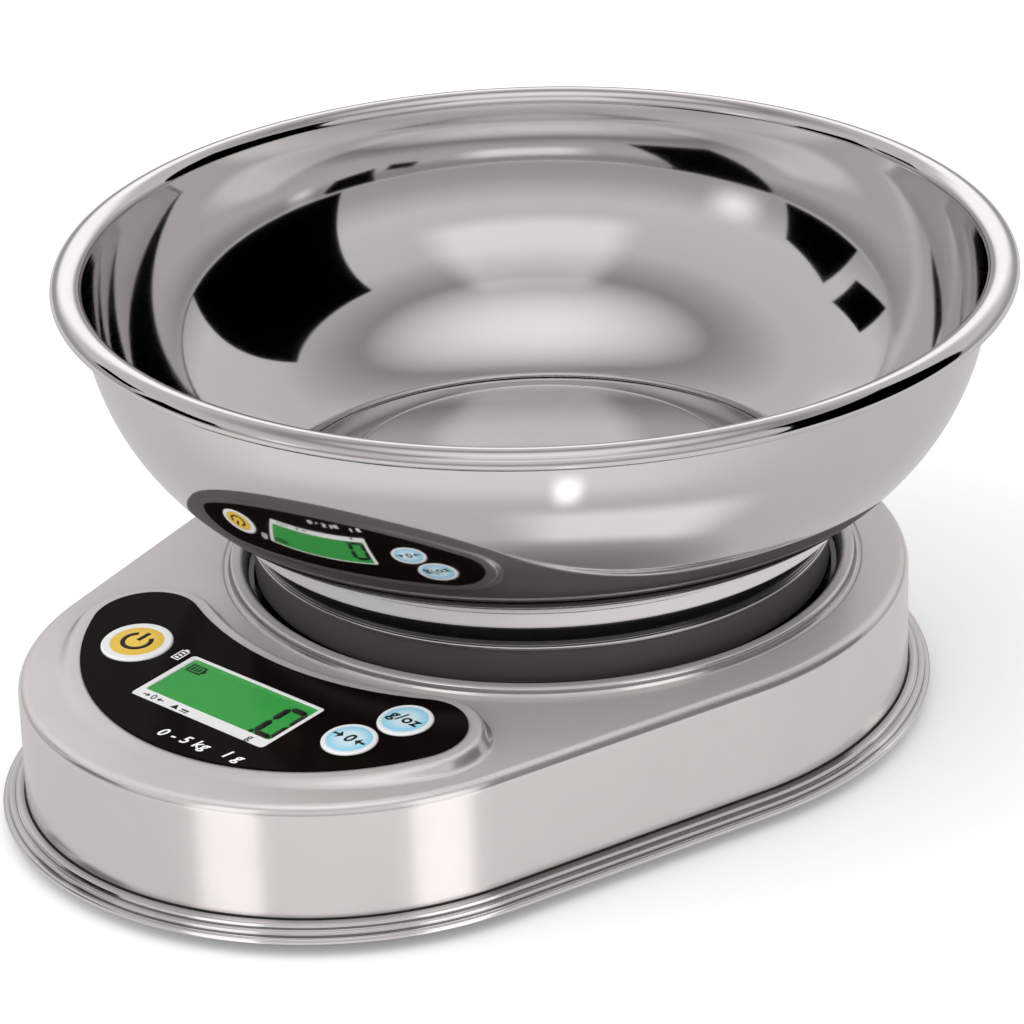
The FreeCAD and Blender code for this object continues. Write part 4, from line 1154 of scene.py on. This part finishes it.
height = axis_of(tree, add(tree, "TexCoord").outputs["Generated"])
ramp = add(tree, "ValToRGB", {0: span(tree, height, -1, 1, "LINEAR")})
bands = ramp.color_ramp.elements
for place, level in ROOM:
    bands.new(place).color = (level, level * 0.975, level * 0.97, 1)
bands.remove(bands[0])
bands.remove(bands[-1])
shown = add(tree, "Background", {"Color": ramp, "Strength": 1})
soft = add(tree, "Background", {"Color": (1, 1, 1, 1), "Strength": 1})
ray = add(tree, "LightPath").outputs["Is Glossy Ray"]
add(tree, "OutputWorld", {0: add(tree, "MixShader", {0: ray, 1: soft, 2: shown})})


def seen_only_by(made, pieces):
    """Keeps a light or a card to a few pieces."""
    group = bpy.data.collections.new(made.name)
    for piece in pieces:
        group.objects.link(piece)
    made.light_linking.receiver_collection = group


def card(name, corners, level, seen_by=(), fade=0.12, distance=1.6):
    """A card that shows only in reflections, from its corners' bearings round from the front
    and their rises above the level. A dark card is solid; a light one fades at its edges, and
    may be kept to a few pieces."""
    steps, middle = 12, Vector((0, -0.01, 0.06))
    shares = [(i / steps, j / steps) for j in range(steps + 1) for i in range(steps + 1)]
    spots = []
    for u, v in shares:
        weights = ((1 - u) * (1 - v), u * (1 - v), u * v, (1 - u) * v)
        a, e = (math.radians(sum(w * corner[k] for w, corner in zip(weights, corners))) for k in (0, 1))
        out = Vector((math.sin(a) * math.cos(e), -math.cos(a) * math.cos(e), math.sin(e)))
        spots.append(middle + distance * out)
    row = steps + 1
    faces = [(k, k + 1, k + row + 1, k + row) for k in range(row * steps) if k % row < steps]
    mesh = bpy.data.meshes.new(name)
    mesh.from_pydata(spots, [], faces)
    layer = mesh.uv_layers.new()
    for loop in mesh.loops:
        layer.data[loop.index].uv = shares[loop.vertex_index]
    made = placed(name, mesh)
    glow = bpy.data.materials.new(name)
    glow.use_nodes = True
    tree = glow.node_tree
    tree.nodes.clear()
    light = add(tree, "Emission", {"Color": (level, level * 0.99, level * 0.985, 1)})
    if level > 0:
        spread = add(tree, "SeparateXYZ", {0: add(tree, "TexCoord").outputs["UV"]}).outputs
        near = [sums(tree, "PINGPONG", spread[axis], 0.5) for axis in ("X", "Y")]
        eases = [span(tree, value, 0, fade) for value in near]
        tree.links.new(sums(tree, "MULTIPLY", *eases).outputs[0], light.inputs["Strength"])
        light = add(tree, "AddShader", {0: light, 1: add(tree, "BsdfTransparent")})
    add(tree, "OutputMaterial", {0: light})
    mesh.materials.append(glow)
    made.visible_camera = made.visible_diffuse = made.visible_shadow = made.visible_transmission = False
    if seen_by:
        seen_only_by(made, seen_by)
    made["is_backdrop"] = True


def square(left, right, low, high):
    """A card's corners, from its two bearings and two rises."""
    return [(left, low), (right, low), (right, high), (left, high)]


steel_body = [shell, edge]
card("strip_light", square(-6, 20, -56, 50), 0.62, steel_body)
card("strip_light", square(71, 97, -56, 50), 0.62, steel_body)
card("spot_light", square(45, 57, -47, -25), 1, [bowl], 0.5)
card("fill_light", square(0, 120, -52, -8), 0.1, steel_body, 0.3)
card("belly_light", square(-75, 115, -44, -6), 0.2, [bowl], 0.3)
card("floor_light", square(5, 85, 32, 74), 0.3, [bowl], 0.2)
card("low_light", square(25, 122, -67, -44), 0.34, [bowl], 0.3)
card("side_glint", square(-27, -4, 6, 28), 0.6, [bowl], 0.5)
card("rim_light", square(-175, -95, 12, 40), 0.6, [bowl], 0.3)
card("hub_light", square(-10, 96, 12, 34), 0.9, [hub], 0.4)
card("ring_light", square(92, 172, 2, 58), 0.5, [edge], 0.1, 1.5)
card("dark_left", [(94, 0), (112, 53), (167, 49), (149, 3)], 0)
card("dark_right", [(-29, 6), (-35, 23), (-56, 29), (-58, 6)], 0)
card("dark_low", [(-63, 20), (-64, 31), (-80, 28), (-78, 17)], 0)

LAMPS = (
    ("soft_box", (-0.35, -1.3, 1.15), 2.4, 12, ()),
    ("side_box", (1.35, -0.55, 0.4), 1, 15, [shell]),
)
for name, place, size, power, seen_by in LAMPS:
    lamp = bpy.data.lights.new(name, "AREA")
    lamp.shape, lamp.size, lamp.energy = "SQUARE", size, power
    lamp_at = placed(name, lamp)
    lamp_at.location = place
    aim = Vector((0, 0, 0.05)) - lamp_at.location
    lamp_at.rotation_euler = aim.to_track_quat("-Z", "Y").to_euler()
    lamp_at.visible_glossy = False
    if seen_by:
        seen_only_by(lamp_at, seen_by)

# ---------------- Camera
# A long lens looks down on the scale from the front right, a little above the
# rim, turned a touch off level and shifted to frame the whole of it.
BEARING, RISE, LEAN = math.radians(44.01), math.radians(25.28), math.radians(-2.1)
AIM, DISTANCE = Vector((0, -0.010125, 0.06)), 1.25818
back = Vector((math.sin(BEARING) * math.cos(RISE), -math.cos(BEARING) * math.cos(RISE), math.sin(RISE)))
across = Vector((math.cos(BEARING), math.sin(BEARING), 0))
over = back.cross(across)
turn = Matrix.Rotation(LEAN, 3, back)
lens = bpy.data.cameras.new("camera")
lens.sensor_width, lens.lens = 36, 177.8
lens.shift_x, lens.shift_y = 0.0524, -0.0042
lens.clip_start, lens.clip_end = 0.05, 50
camera = placed("camera", lens)
camera.matrix_world = Matrix((turn @ across, turn @ over, back)).transposed().to_4x4()
camera.location = AIM + back * DISTANCE
bpy.context.scene.camera = camera
bpy.context.scene.view_settings.view_transform = "Standard"

low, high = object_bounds()
